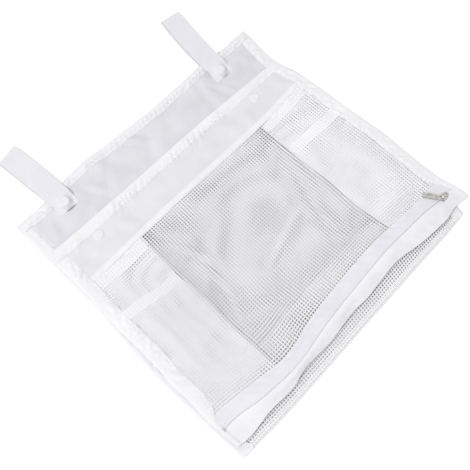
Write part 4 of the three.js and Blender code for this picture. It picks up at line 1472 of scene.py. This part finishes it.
class NETBAG_OT_snaps(NetBagOperator):
    """Makes the press snaps' domed caps and finishes the parts behind them"""

    bl_idname = "net_bag.snaps"
    bl_label = "Press snaps"

    def execute(self, context):
        for word, _ in SIDES:
            for place in ("loop", "mouth"):
                body = f"{word}_flap" if place == "loop" else "mouth_flap"
                self.cap(f"{word}_{place}_snap_cap", body, 1)
                self.cap(f"{word}_{place}_snap_rear_cap", "bag", -1)
                for part in ("socket", "stud"):
                    refinish(f"{word}_{place}_snap_{part}", "moulded_acetal")
        return {"FINISHED"}

    def cap(self, node, body, up):
        """Turns a cap: a flat rim, a rounded shoulder and a shallow dish round a raised middle."""
        low, high = cad(node)
        radius = (high.x - low.x) / 2
        face = high.z if up > 0 else low.z
        rim = ((radius - 0.2, -0.2), (radius, -0.3), (radius - 0.12, -0.5))
        profile = [*CAP_DISH, *rim, *CAP_SHANK]
        clear_bench()
        bpy.ops.mesh.primitive_plane_add(size=1)
        made = bpy.context.object
        made.name = node.replace("snap", "press")
        mesh = made.data
        mesh.clear_geometry()
        edges = [(i, i + 1) for i in range(len(profile) - 1)]
        mesh.from_pydata([(r, 0, z) for r, z in profile], edges, [])
        bpy.ops.object.mode_set(mode="EDIT")
        bpy.ops.mesh.select_all(action="SELECT")
        bpy.ops.mesh.spin(steps=40, angle=2 * math.pi, center=(0, 0, 0), axis=(0, 0, 1))
        bpy.ops.mesh.select_all(action="SELECT")
        bpy.ops.mesh.remove_doubles(threshold=0.001)
        bpy.ops.mesh.normals_make_consistent(inside=False)
        bpy.ops.object.mode_set(mode="OBJECT")
        x, y = (low.x + high.x) / 2, (low.y + high.y) / 2
        for vertex in mesh.vertices:
            co = vertex.co
            vertex.co = Vector((x + co.x, y + FOOT + co.y * up, face + (co.z - CAP_RIM) * up)) * MM
        mesh.update()
        mesh.materials.append(finish("moulded_acetal"))
        pick(made)
        bpy.ops.object.shade_smooth_by_angle(angle=math.radians(40))
        dress(made, body, [node])


class NETBAG_PT_panel(bpy.types.Panel):
    """Lists the steps that dress the bag"""

    bl_idname = "NETBAG_PT_panel"
    bl_label = "Net Bag"
    bl_space_type = "VIEW_3D"
    bl_region_type = "UI"
    bl_category = "Net Bag"

    def draw(self, context):
        for step in STEPS:
            self.layout.operator(step.bl_idname)
        for group in (context.scene.net_bag_sizes, context.scene.net_bag_colours):
            box = self.layout.box()
            for name in group.__annotations__:
                box.prop(group, name)


STEPS = (
    NETBAG_OT_stage,
    NETBAG_OT_back,
    NETBAG_OT_front,
    NETBAG_OT_gussets,
    NETBAG_OT_zip,
    NETBAG_OT_straps,
    NETBAG_OT_snaps,
)
CLASSES = (NetBagSizes, NetBagColours, *STEPS, NETBAG_PT_panel)


def register():
    for made in CLASSES:
        bpy.utils.register_class(made)
    bpy.types.Scene.net_bag_sizes = bpy.props.PointerProperty(type=NetBagSizes)
    bpy.types.Scene.net_bag_colours = bpy.props.PointerProperty(type=NetBagColours)


def unregister():
    del bpy.types.Scene.net_bag_colours
    del bpy.types.Scene.net_bag_sizes
    for made in reversed(CLASSES):
        bpy.utils.unregister_class(made)


def main():
    register()
    bpy.ops.net_bag.stage()
    bpy.ops.net_bag.back()
    bpy.ops.net_bag.front()
    bpy.ops.net_bag.gussets()
    bpy.ops.net_bag.zip()
    bpy.ops.net_bag.straps()
    bpy.ops.net_bag.snaps()


if __name__ == "__main__":
    main()
